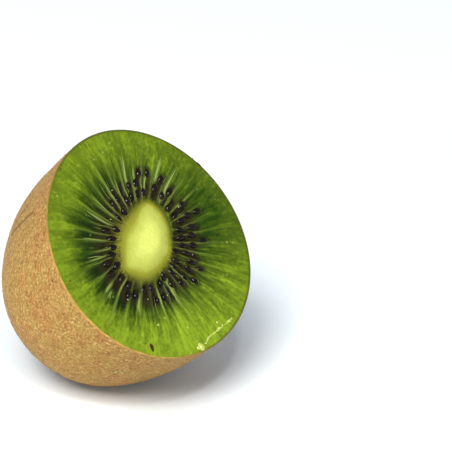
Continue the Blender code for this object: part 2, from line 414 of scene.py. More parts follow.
@dataclass
class CoreTone:
    """How the pale core passes into the green flesh, by angle about the core's middle."""

    form: FruitForm
    pale_reach: Stops = (
        # degrees, and where the pale part ends as a share of the core's radius
        (20, 0.80), (36, 0.85), (52, 0.93), (62, 0.87), (76, 0.72), (105, 0.67), (130, 0.72), (152, 0.79),
        (185, 0.75), (202, 0.91), (217, 0.79), (248, 0.77), (264, 0.82), (290, 0.88), (316, 0.99),
        (350, 0.84),
    )
    pale_soften: int = 14
    halo_width: Stops = (
        # degrees, and the olive zone's width in millimetres
        (20, 1.4), (50, 1.7), (75, 3.0), (105, 3.9), (130, 4.0), (160, 3.8), (185, 3.8), (205, 2.8),
        (225, 3.2), (250, 3.0), (270, 2.7), (300, 2.3), (340, 1.7),
    )
    most: float = 3.0

    def at(self, x: Array, y: Array) -> Array:
        """How far a point of the cut face is from the pale part towards the green one.

        Args:
            x: first coordinate in the fruit's own frame.
            y: second coordinate.

        Returns:
            0 at the core's middle, 1 where the pale part ends, 2 where the olive zone does, and on to most.
        """
        x, y = x - self.form.core_middle[0], y - self.form.core_middle[1]
        angle, radius = np.arctan2(y, x), np.hypot(x, y)
        edge = self.form.core_radius(angle) * around(self.pale_reach, angle, self.pale_soften)
        halo = around(self.halo_width, angle) * MM
        return np.minimum(np.where(radius < edge, radius / edge, 1.0 + (radius - edge) / halo), self.most)


@dataclass
class Shape:
    """Points, faces and painted values of a piece in the making.

    faces holds one array of corner numbers for each count of corners. paint holds one value for each point
    under each name: a number, or three numbers.
    """

    points: Array
    faces: list[Array]
    paint: dict[str, Array] = field(default_factory=dict)

    @classmethod
    def from_rings(cls, rings: Array, start: Array | Colour, end: Array | Colour, **paint: Array) -> "Shape":
        """Close a skin through rings of points, with a fan of triangles at either end.

        Args:
            rings: rows of rings, each anticlockwise seen from above, that run down the body's outside.
            start: the point that closes the first ring.
            end: the point that closes the last ring.
            **paint: values on the rings' points. The two ends take the mean of the ring beside them.

        Returns:
            The closed shape, with its faces pointing out.
        """
        rows, columns = rings.shape[:2]
        points = np.vstack([start, rings.reshape(-1, 3), end])
        number = 1 + np.arange(rows * columns).reshape(rows, columns)
        after = np.roll(number, -1, axis=1)
        quads = np.stack([number[:-1], number[1:], after[1:], after[:-1]], axis=-1).reshape(-1, 4)
        first, last = np.zeros(columns, dtype=int), np.full(columns, len(points) - 1)
        top = np.stack([first, number[0], after[0]], axis=-1)
        bottom = np.stack([number[-1], last, after[-1]], axis=-1)
        values = {}
        for name, value in paint.items():
            ends = value[:1].mean(axis=1), value[-1:].mean(axis=1)
            values[name] = np.concatenate([ends[0], value.reshape(-1, *value.shape[2:]), ends[1]])
        return cls(points, [quads, np.vstack([top, bottom])], values)

    @classmethod
    def ball(cls, columns: int, rows: int) -> "Shape":
        """A ball of radius 1: each ring's radius is the sine and its height the cosine of half a turn.

        Args:
            columns: points in a ring.
            rows: number of rings.

        Returns:
            The closed ball.
        """
        turn, fall = ring_grid(columns, np.linspace(0.0, math.pi, rows + 2)[1:-1])
        rings = np.stack([np.sin(fall) * np.cos(turn), np.sin(fall) * np.sin(turn), np.cos(fall)], axis=-1)
        return cls.from_rings(rings, (0.0, 0.0, 1.0), (0.0, 0.0, -1.0))

    @classmethod
    def copies(cls, pattern: "Shape", points: Array, **paint: Array) -> "Shape":
        """Many copies of one pattern's faces and paint as a single shape.

        Args:
            pattern: the shape whose faces and paint repeat.
            points: the points of every copy, copies along the first axis.
            **paint: one more value for each copy.

        Returns:
            The joined shape.
        """
        count, size = points.shape[:2]
        shift = (np.arange(count) * size)[:, None, None]
        faces = [(face[None] + shift).reshape(-1, face.shape[1]) for face in pattern.faces]
        repeated = {name: np.tile(value, count) for name, value in pattern.paint.items()}
        own = {name: np.repeat(value, size, axis=0) for name, value in paint.items()}
        return cls(points.reshape(-1, 3), faces, repeated | own)

    def to_object(self, name: str, material: bpy.types.Material, shading: Shading) -> bpy.types.Object:
        """Make the mesh object, with its place in its mesh, and link it to the scene.

        Args:
            name: the object's name.
            material: the only material of the piece.
            shading: flat or smooth faces.

        Returns:
            The new object.
        """
        mesh = bpy.data.meshes.new(name)
        corners = np.concatenate([face.ravel() for face in self.faces]).astype(np.int32)
        counts = np.concatenate([np.full(len(face), face.shape[1]) for face in self.faces])
        starts = np.concatenate(([0], np.cumsum(counts)[:-1])).astype(np.int32)
        mesh.vertices.add(len(self.points))
        mesh.vertices.foreach_set("co", self.points.astype(np.float32).ravel())
        mesh.loops.add(len(corners))
        mesh.loops.foreach_set("vertex_index", corners)
        mesh.polygons.add(len(counts))
        mesh.polygons.foreach_set("loop_start", starts)
        mesh.update(calc_edges=True)
        for label, value in self.paint.items():
            kind, slot = ("FLOAT", "value") if value.ndim == 1 else ("FLOAT_VECTOR", "vector")
            layer = mesh.attributes.new(label, kind, "POINT")
            layer.data.foreach_set(slot, value.astype(np.float32).ravel())
        mesh.polygons.foreach_set("use_smooth", np.full(len(counts), shading.value))
        mesh.materials.append(material)
        piece = bpy.data.objects.new(name, mesh)
        bpy.context.scene.collection.objects.link(piece)
        return piece


class Signal:
    """A number that varies over a surface. Operators on it add nodes to its recipe."""

    def __init__(self, recipe: "Recipe", socket: Socket) -> None:
        """Wrap an output socket of a node."""
        self.recipe = recipe
        self.socket = socket

    def _math(self, operation: str, first: "Signal | float", second: "Signal | float") -> "Signal":
        """Add one Math node and wrap its output."""
        node = self.recipe.node("ShaderNodeMath", {"operation": operation}, {0: first, 1: second})
        return Signal(self.recipe, node.outputs[0])

    def __add__(self, other: "Signal | float") -> "Signal":
        """Sum."""
        return self._math("ADD", self, other)

    def __sub__(self, other: "Signal | float") -> "Signal":
        """Difference."""
        return self._math("SUBTRACT", self, other)

    def __rsub__(self, other: "Signal | float") -> "Signal":
        """Difference from a plain number."""
        return self._math("SUBTRACT", other, self)

    def __mul__(self, other: "Signal | float") -> "Signal":
        """Product."""
        return self._math("MULTIPLY", self, other)

    __radd__ = __add__
    __rmul__ = __mul__

    def between(self, low: float, high: float) -> "Signal":
        """0 at low, 1 at high, and a soft S between them. low may be the larger one.

        Args:
            low: the value that gives 0.
            high: the value that gives 1.

        Returns:
            The share.
        """
        ends = (low, high, 0.0, 1.0) if low < high else (high, low, 1.0, 0.0)
        sockets = {0: self} | dict(enumerate(ends, start=1))
        node = self.recipe.node("ShaderNodeMapRange", {"interpolation_type": "SMOOTHSTEP"}, sockets)
        return Signal(self.recipe, node.outputs[0])


class Recipe:
    """A material in the making: one surface shader and the nodes that feed it."""

    def __init__(self, name: str, **constants: object) -> None:
        """Start a material.

        Args:
            name: the material's name.
            **constants: values of the shader's own sockets, with _ for the spaces in their names.
        """
        self.material = bpy.data.materials.new(name)
        self.material.use_nodes = True
        self.tree = self.material.node_tree
        self.shader = self.tree.nodes["Principled BSDF"]
        for label, value in constants.items():
            self.shader.inputs[label.replace("_", " ")].default_value = value

    def node(
        self, kind: str, settings: dict[str, object], sockets: dict[int | str, object]
    ) -> bpy.types.Node:
        """Add one node.

        Args:
            kind: the node's type.
            settings: its own properties, set before its sockets.
            sockets: values, signals or sockets for its inputs, by number or name.

        Returns:
            The new node.
        """
        node = self.tree.nodes.new(kind)
        for label, value in settings.items():
            setattr(node, label, value)
        for label, value in sockets.items():
            self._feed(node.inputs[label], value)
        return node

    def _feed(self, socket: Socket, value: object) -> None:
        """Link a signal or a socket to an input, or set its plain value.

        Args:
            socket: the input.
            value: what it takes.
        """
        if isinstance(value, (Signal, Socket)):
            self.tree.links.new(getattr(value, "socket", value), socket)
        else:
            socket.default_value = (*value, 1.0) if socket.type == "RGBA" else value

    def spot(self) -> Socket:
        """Object coordinates, in metres."""
        return self.node("ShaderNodeTexCoord", {}, {}).outputs["Object"]

    def value(self, label: str) -> Signal:
        """A number painted on the piece's points."""
        return Signal(self, self.node("ShaderNodeAttribute", {"attribute_name": label}, {}).outputs["Fac"])

    def vector(self, label: str) -> Socket:
        """Three numbers painted on the piece's points."""
        return self.node("ShaderNodeAttribute", {"attribute_name": label}, {}).outputs["Vector"]

    def stretched(self, where: Socket, by: Colour) -> Socket:
        """Coordinates multiplied along each axis."""
        node = self.node("ShaderNodeVectorMath", {"operation": "MULTIPLY"}, {0: where, 1: by})
        return node.outputs["Vector"]

    def noise(self, where: Socket, size: float, detail: float = 2.0) -> Signal:
        """Soft noise from 0 to 1: blotches of a size in the coordinates' unit, and finer layers on top."""
        node = self.node("ShaderNodeTexNoise", {}, {"Vector": where, "Scale": 1.0 / size, "Detail": detail})
        return Signal(self, node.outputs["Fac"])

    def cells(self, where: Socket, size: float) -> tuple[Signal, Signal]:
        """Random cells, as juice sacs or pores lie.

        Args:
            where: coordinates.
            size: size of a cell, in the coordinates' unit.

        Returns:
            The distance from the cell's middle, in cell sizes, and a random number for each cell.
        """
        node = self.node("ShaderNodeTexVoronoi", {}, {"Vector": where, "Scale": 1.0 / size})
        split = self.node("ShaderNodeSeparateColor", {}, {0: node.outputs["Color"]})
        return Signal(self, node.outputs["Distance"]), Signal(self, split.outputs[0])

    def coats(self, colour: Colour | Socket, *coats: tuple[Colour | Socket, Signal | float]) -> Socket:
        """Lay colours one over the other.

        Args:
            colour: the colour at the bottom.
            *coats: each next colour and its share, which hides what is below it where the share is 1.

        Returns:
            The finished colour.
        """
        settings = {"data_type": "RGBA", "clamp_factor": True}
        for coat, share in coats:
            colour = self.node("ShaderNodeMix", settings, {0: share, 6: colour, 7: coat}).outputs[2]
        return colour

    def finish(self, colour: Socket, roughness: Signal, relief: Signal, depth: float) -> bpy.types.Material:
        """Feed the shader what varies over the surface.

        Args:
            colour: base colour.
            roughness: roughness, from 0 to 1.
            relief: height of the fine relief, from 0 to 1.
            depth: how deep that relief is, in metres.

        Returns:
            The finished material.
        """
        bump = self.node("ShaderNodeBump", {}, {"Height": relief, "Distance": depth})
        inputs = {"Base Color": colour, "Roughness": roughness, "Normal": bump.outputs["Normal"]}
        for label, value in inputs.items():
            self._feed(self.shader.inputs[label], value)
        return self.material


class Finish(ABC):
    """A surface's colours and sizes. Its recipe reads the values that the piece paints on its points."""

    @abstractmethod
    def material(self) -> bpy.types.Material:
        """Make the material."""


@dataclass(frozen=True)
class CoreBorder:
    """The olive border in which the pale core and the green flesh meet."""

    shoulder: Colour = painted(187, 193, 85)
    halo: Colour = painted(148, 149, 42)
    rind: Colour = painted(92, 90, 26)
    halo_tones: tuple[float, float] = (0.78, 1.20)
    rind_tones: tuple[float, float] = (1.1, 1.9)

    def over(self, recipe: Recipe, colour: Colour | Socket, tone: Signal, rind_tone: Signal) -> Socket:
        """Lay the halo and the darker rind over a colour.

        Args:
            recipe: the material in the making.
            colour: the colour below.
            tone: the tone that the halo follows.
            rind_tone: the tone that the rind follows.

        Returns:
            The colour with its border.
        """
        halo = self.halo, tone.between(*self.halo_tones)
        return recipe.coats(colour, halo, (self.rind, rind_tone.between(*self.rind_tones)))


@dataclass(frozen=True)
class FleshFinish(Finish):
    """Wet green flesh: rays, dark seed chambers, pale walls between them, mottling and fine juice sacs."""

    inner: Colour = painted(79, 97, 21)
    outer: Colour = painted(103, 123, 23)
    # a lit copy of the green: painted light on the lower part of the face, partly the flesh's own paler tone
    bright: Colour = painted(152, 179, 42)
    # darker green: painted shade on the right side, and the flesh's own deeper tone in its inner part
    deep: Colour = painted(38, 66, 8)
    chamber: Colour = painted(26, 40, 8)
    wall: Colour = painted(126, 138, 60)
    strand: Colour = painted(150, 168, 82)
    bed: Colour = painted(52, 48, 20)
    # painted shade round each seed, and the dark of seeds sunk deeper in the flesh
    aril: Colour = painted(34, 28, 14)
    edge: Colour = painted(78, 92, 18)
    speck: Colour = painted(172, 192, 96)
    border: CoreBorder = CoreBorder()
    border_tones: tuple[float, float] = (2.4, 1.2)
    streak_ways: tuple[Colour, Colour, Colour] = ((9.0, 9.0, 1.7), (27.0, 27.0, 3.6), (36.0, 36.0, 9.0))
    sac_size: float = 0.55 * MM
    speck_size: float = 1.5 * MM
    mottle_size: float = 0.75 * MM
    blotch_size: float = 2.4 * MM
    light_depth: float = 0.35 * MM
    relief_depth: float = 0.06 * MM

    def material(self) -> bpy.types.Material:
        """Make the material.

        Returns:
            The finished material.
        """
        recipe = Recipe("flesh", Subsurface_Weight=0.25, Subsurface_Radius=(0.9, 1.0, 0.35),
                        Subsurface_Scale=self.light_depth, IOR=1.38, Specular_IOR_Level=0.12)
        value, spot, ray, share = recipe.value, recipe.spot(), recipe.vector("ray"), recipe.value("share")
        broad, narrow, short = (recipe.noise(recipe.stretched(ray, way), 1.0) for way in self.streak_ways)
        mottle, blotch = recipe.noise(spot, self.mottle_size), recipe.noise(spot, self.blotch_size)
        sac, sac_draw = recipe.cells(spot, self.sac_size)
        dot, dot_draw = recipe.cells(spot, self.speck_size)
        rays = ((broad - 0.5) * 2.0 + (narrow - 0.5) * 1.7) * (share.between(1.15, 0.45) * 0.75 + 0.25)
        grain = (short - 0.5) * 1.1 + (mottle - 0.5) * 0.9 + (blotch - 0.5) * 0.8 + (sac_draw - 0.5) * 0.2
        light = rays * 0.75 + grain * (share.between(0.45, 0.75) * 0.15 + 0.42)
        tone, ragged = value("tone"), (narrow - 0.5) + (mottle - 0.5) * 0.5
        olive = self.border.over(recipe, self.border.shoulder, tone + ragged * 0.3, tone + ragged)
        specks = dot.between(0.26, 0.08) * dot_draw.between(0.82, 0.92) * share.between(0.3, 0.55)
        green = recipe.coats(
            self.inner,
            (self.outer, share.between(0.25, 0.75)),
            # painted light: the lower part of the face is made lighter, partly the flesh's own paler tone
            (self.bright, value("sunny") + light),
            # painted shade: the right side is made darker, partly the flesh's own deeper green
            (self.deep, value("shady") - light * 0.7),
            (self.chamber, value("chamber") * (1.05 - light * 1.6)),
            (self.bed, value("bed") * (mottle * 1.2 + 0.45)),
            # painted shade round the seeds, and seeds sunk deeper showing through the flesh
            (self.aril, value("aril") * (narrow * 1.2 + 0.4)),
            (self.wall, value("wall") * (narrow * 1.4 + 0.1)),
            (self.strand, value("strand") * (narrow * 0.8 + 0.3)),
            (olive, (tone + ragged).between(*self.border_tones)),
            (self.edge, value("edge")),
            (self.speck, specks * 0.45),
        )
        relief = sac * -0.5 + narrow * 0.5 + mottle * 0.5
        return recipe.finish(green, mottle * 0.30 + 0.28, relief, self.relief_depth)


@dataclass(frozen=True)
class CoreFinish(Finish):
    """The pale, firm core: creamy yellow-green with fine grain, turning olive where the flesh begins."""

    heart: Colour = painted(221, 226, 113)
    grain_light: Colour = painted(248, 250, 150)
    border: CoreBorder = CoreBorder()
    shoulder_tones: tuple[float, float] = (0.25, 0.85)
    grain_tones: tuple[float, float] = (0.9, 0.6)
    grain_ways: Colour = (1.0, 0.55, 1.0)
    grain_size: float = 0.36 * MM
    patch_size: float = 1.5 * MM
    light_depth: float = 0.5 * MM
    relief_depth: float = 0.03 * MM

    def material(self) -> bpy.types.Material:
        """Make the material.

        Returns:
            The finished material.
        """
        recipe = Recipe("core", Subsurface_Weight=0.3, Subsurface_Radius=(1.0, 1.0, 0.5),
                        Subsurface_Scale=self.light_depth, IOR=1.38, Specular_IOR_Level=0.25)
        spot, shoulder = recipe.spot(), self.border.shoulder
        grain = recipe.noise(recipe.stretched(spot, self.grain_ways), self.grain_size)
        patch = recipe.noise(spot, self.patch_size)
        tone = recipe.value("tone") + (patch - 0.5) * 0.20 + (grain - 0.5) * 0.12
        pale = recipe.coats(self.heart, (shoulder, tone.between(*self.shoulder_tones)))
        grained = tone.between(*self.grain_tones)
        colour = recipe.coats(
            self.border.over(recipe, pale, tone, tone),
            (self.grain_light, grain.between(0.5, 0.75) * grained * 0.3),
            (shoulder, grain.between(0.5, 0.3) * grained * 0.25),
        )
        return recipe.finish(colour, grain * 0.25 + 0.36, grain, self.relief_depth)


@dataclass(frozen=True)
class SkinFinish(Finish):
    """Thin brown skin: tan ground, patches, pores and scurf, darker towards the stem end, with painted shade
    underneath, near the rim and in the creases.
    """

    ground: Colour = painted(177, 139, 72)
    warm: Colour = painted(182, 120, 68)
    dark: Colour = painted(118, 82, 38)
    pale: Colour = painted(216, 178, 106)
    fleck: Colour = painted(240, 206, 136)
    # brown of the stem end, also laid on as painted shade on the underside and near parts of the rim
    stem: Colour = painted(100, 70, 40)
    scab: Colour = painted(112, 58, 34)
    lip: Colour = painted(84, 86, 24)
    lip_warm: Colour = painted(208, 164, 82)
    sheen: tuple[float, float, float, float] = (1.0, 0.82, 0.5, 1.0)
    patch_size: float = 6.0 * MM
    blotch_size: float = 1.7 * MM
    scurf_size: float = 0.52 * MM
    pore_size: float = 1.1 * MM
    relief_depth: float = 0.10 * MM

    def material(self) -> bpy.types.Material:
        """Make the material.

        Returns:
            The finished material.
        """
        recipe = Recipe("skin", Specular_IOR_Level=0.15, IOR=1.4,
                        Sheen_Weight=0.12, Sheen_Roughness=0.35, Sheen_Tint=self.sheen)
        spot, value = recipe.spot(), recipe.value
        patch = recipe.noise(spot, self.patch_size, detail=3.0)
        blotch = recipe.noise(spot, self.blotch_size, detail=3.0)
        scurf = recipe.noise(spot, self.scurf_size)
        pore, pore_draw = recipe.cells(spot, self.pore_size)
        crease = (value("crease") + (scurf - 0.5) * 0.35).between(0.58, 0.12)
        lip = recipe.coats(self.lip, (self.lip_warm, value("warm_lip") * (blotch * 1.4 + 0.1)))
        colour = recipe.coats(
            self.ground,
            (self.warm, patch.between(0.40, 0.66) * 0.5 + blotch.between(0.5, 0.72) * 0.45),
            (self.pale, scurf.between(0.50, 0.70) * 0.6 + blotch.between(0.45, 0.30) * 0.35),
            (self.dark, scurf.between(0.50, 0.30) * 0.6 + blotch.between(0.56, 0.76) * 0.3),
            (self.dark, pore.between(0.34, 0.12) * pore_draw.between(0.55, 0.75) * 0.55),
            (self.fleck, pore.between(0.30, 0.12) * pore_draw.between(0.40, 0.20) * 0.6),
            # the stem end's own browning, with painted shade on the underside and near parts of the rim
            (self.stem, value("stem") * (blotch + 0.4)),
            # the creases made darker: partly painted shade in them, partly their own darker skin
            (self.dark, crease * 0.85),
            (self.scab, (value("scab") + (scurf - 0.5) * 0.8).between(1.0, 0.6)),
            (lip, value("lip")),
        )
        relief = scurf * 0.6 + blotch * 0.8 - pore.between(0.30, 0.10) * 0.4 - crease * 1.2
        return recipe.finish(colour, scurf * 0.25 + 0.6, relief, self.relief_depth)


@dataclass(frozen=True)
class FuzzFinish(Finish):
    """Short dry hairs, each with its own tone between straw and brown."""

    straw: Colour = painted(204, 166, 104)
    brown: Colour = painted(130, 88, 44)
    grain_size: float = 0.2 * MM
    relief_depth: float = 0.005 * MM

    def material(self) -> bpy.types.Material:
        """Make the material.

        Returns:
            The finished material.
        """
        recipe = Recipe("fuzz", Sheen_Weight=0.2, IOR=1.5)
        grain = recipe.noise(recipe.spot(), self.grain_size, detail=1.0)
        colour = recipe.coats(self.straw, (self.brown, recipe.value("tone") + (grain - 0.5) * 0.3))
        return recipe.finish(colour, grain * 0.2 + 0.55, grain, self.relief_depth)


@dataclass(frozen=True)
class SeedFinish(Finish):
    """Nearly black seeds, finely pitted, wet, and browner towards their points."""

    body: Colour = painted(13, 10, 8)
    tip: Colour = painted(46, 30, 18)
    pit_size: float = 0.16 * MM
    cloud_size: float = 0.6 * MM
    relief_depth: float = 0.008 * MM

    def material(self) -> bpy.types.Material:
        """Make the material.

        Returns:
            The finished material.
        """
        recipe = Recipe("seed", IOR=1.5, Specular_IOR_Level=0.25)
        spot = recipe.spot()
        pit, _ = recipe.cells(spot, self.pit_size)
        cloud = recipe.noise(spot, self.cloud_size)
        share = recipe.value("tip") * 0.7 + (cloud - 0.5) * 0.5 + recipe.value("tone") * 0.3
        colour = recipe.coats(self.body, (self.tip, share))
        return recipe.finish(colour, cloud * 0.16 + 0.05, pit, self.relief_depth)


@dataclass(frozen=True)
class FibreFinish(Finish):
    """Pale strands in the flesh, greener towards their outer ends."""

    pale: Colour = painted(164, 180, 90)
    green: Colour = painted(98, 122, 32)
    grain_size: float = 0.3 * MM
    light_depth: float = 0.4 * MM
    relief_depth: float = 0.02 * MM

    def material(self) -> bpy.types.Material:
        """Make the material.

        Returns:
            The finished material.
        """
        recipe = Recipe("fibre", Subsurface_Weight=0.3, Subsurface_Scale=self.light_depth, IOR=1.38)
        grain = recipe.noise(recipe.spot(), self.grain_size)
        colour = recipe.coats(self.pale, (self.green, recipe.value("fade") + (grain - 0.5) * 0.6))
        return recipe.finish(colour, grain * 0.2 + 0.35, grain, self.relief_depth)


@dataclass(frozen=True)
class JuiceFinish(Finish):
    """Clear juice, faintly yellow, in small beads, some of them cloudy."""

    tint: Colour = painted(236, 244, 190)
    cloudy: Colour = painted(230, 244, 90)
    swirl_size: float = 0.4 * MM
    relief_depth: float = 0.004 * MM

    def material(self) -> bpy.types.Material:
        """Make the material.

        Returns:
            The finished material.
        """
        recipe = Recipe("juice", IOR=1.34, Transmission_Weight=0.4, Coat_Weight=0.5, Coat_Roughness=0.03)
        swirl = recipe.noise(recipe.spot(), self.swirl_size, detail=1.0)
        colour = recipe.coats(self.tint, (self.cloudy, recipe.value("cloudy") + (swirl - 0.5) * 0.3))
        return recipe.finish(colour, swirl * 0.08 + 0.03, swirl, self.relief_depth)


@dataclass(frozen=True)
class StalkFinish(Finish):
    """The dry, woody scar where the stalk was."""

    wood: Colour = painted(142, 108, 60)
    crack: Colour = painted(66, 48, 18)
    ridge: Colour = painted(184, 146, 92)
    bark_size: float = 0.9 * MM
    fleck_size: float = 0.3 * MM
    relief_depth: float = 0.12 * MM

    def material(self) -> bpy.types.Material:
        """Make the material.

        Returns:
            The finished material.
        """
        recipe = Recipe("stalk_scar", IOR=1.45, Specular_IOR_Level=0.1)
        spot = recipe.spot()
        bark = recipe.noise(spot, self.bark_size, detail=4.0)
        fleck = recipe.noise(spot, self.fleck_size)
        hollow = recipe.value("hollow") * 0.75 + fleck.between(0.45, 0.3) * 0.6
        colour = recipe.coats(self.wood, (self.ridge, bark.between(0.45, 0.7) * 0.8), (self.crack, hollow))
        return recipe.finish(colour, bark * 0.2 + 0.7, bark + fleck * 0.5, self.relief_depth)


@dataclass(frozen=True)
class TableFinish(Finish):
    """The plain white table top, with a trace of unevenness."""

    light: Colour = (0.93, 0.97, 0.99)
    dull: Colour = (0.90, 0.95, 0.975)
    glow: Colour = (0.78, 1.0, 1.12)
    glow_strength: float = 0.04
    cloud_size: float = 120.0 * MM
    relief_depth: float = 0.01 * MM

    def material(self) -> bpy.types.Material:
        """Make the material.

        Returns:
            The finished material.
        """
        recipe = Recipe("table", Specular_IOR_Level=0.1, Emission_Color=(*self.glow, 1.0),
                        Emission_Strength=self.glow_strength)
        cloud = recipe.noise(recipe.spot(), self.cloud_size)
        colour = recipe.coats(self.light, (self.dull, cloud))
        return recipe.finish(colour, cloud * 0.1 + 0.6, cloud, self.relief_depth)


@dataclass
class Piece(ABC):
    """One piece of the half's looks, made in the fruit's own frame."""

    form: FruitForm
    name: ClassVar[str]
    slot: ClassVar[Slot]
    finish: ClassVar[Finish]

    @abstractmethod
    def shape(self) -> Shape:
        """Work out the piece's points, faces and painted values."""

    def build(self) -> bpy.types.Object:
        """Move the piece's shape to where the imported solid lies, and dress it.

        Returns:
            The finished object.
        """
        shape = self.shape()
        shape.points = self.form.to_frame(shape.points)
        return shape.to_object(self.name, self.finish.material(), Shading.SMOOTH)


@dataclass(frozen=True)
class SeedPlace:
    """Where one seed lies: its point on the cut face, the flesh's height there, its heading and its size."""

    point: Vector
    height: float
    heading: float
    size: float


@dataclass
class SeedRule:
    """The rule that spreads the seeds: a few in each chamber, in rows round the core."""

    form: FruitForm
    length: float = 2.35 * MM
    width: float = 1.5 * MM
    thickness: float = 1.15 * MM
    size_spread: float = 0.12
    rows: tuple[tuple[float, float, float], ...] = (
        # distance from the core, its spread, and the share of the chambers that hold such a seed
        (2.3 * MM, 0.8 * MM, 0.95), (4.4 * MM, 0.8 * MM, 0.85), (6.3 * MM, 0.9 * MM, 0.25),
    )
    tries: int = 12
    stray: float = 0.35
    wider_side: float = math.radians(-8.0)
    wider_by: float = 0.24
    lean: float = math.radians(16.0)
    clearance: float = 1.04
    sink: float = 0.08 * MM
    draw_from: int = 27

    def places(self) -> list[SeedPlace]:
        """Draw the seeds' places, row by row. One that would touch an earlier seed is skipped.

        Returns:
            The places.
        """
        draw = random.Random(self.draw_from)
        places: list[SeedPlace] = []
        for distance, spread, share_filled in self.rows:
            for chamber in range(self.form.chambers):
                if draw.random() > share_filled:
                    continue
                for _ in range(self.tries):
                    place = self.draw_place(draw, chamber, distance, spread)
                    if not any(self._touch(place, other) for other in places):
                        places.append(place)
                        break
        return places

    def draw_place(self, draw: random.Random, chamber: int, distance: float, spread: float) -> SeedPlace:
        """Draw one place.

        Args:
            draw: the source of random numbers.
            chamber: number of the seed's chamber.
            distance: about how far it lies from the core.
            spread: how far that may be off.

        Returns:
            The place.
        """
        stray = draw.uniform(-self.stray, self.stray)
        angle = TURN * (chamber + 0.5 + stray) / self.form.chambers
        wider = 1.0 + self.wider_by * math.cos(angle - self.wider_side)
        away = (distance + draw.uniform(-spread, spread)) * wider
        inner = Vector(self.form.flesh_point(angle, 0.0))
        line = Vector(self.form.flesh_point(angle, 1.0)) - inner
        share = away / line.length
        heading = math.atan2(line.y, line.x) + draw.uniform(-self.lean, self.lean)
        size = 1.0 + draw.uniform(-self.size_spread, self.size_spread)
        return SeedPlace(inner + share * line, float(self.form.flesh_height(angle, share)), heading, size)

    def _touch(self, place: SeedPlace, other: SeedPlace) -> bool:
        """Whether seeds at two places would touch.

        Args:
            place: where one seed lies.
            other: where the other one lies.

        Returns:
            True where they would touch.
        """
        along, gap = Vector((math.cos(place.heading), math.sin(place.heading))), other.point - place.point
        aside = gap.dot(Vector((-along.y, along.x)))
        return math.hypot(gap.dot(along) / self.length, aside / self.width) < self.clearance


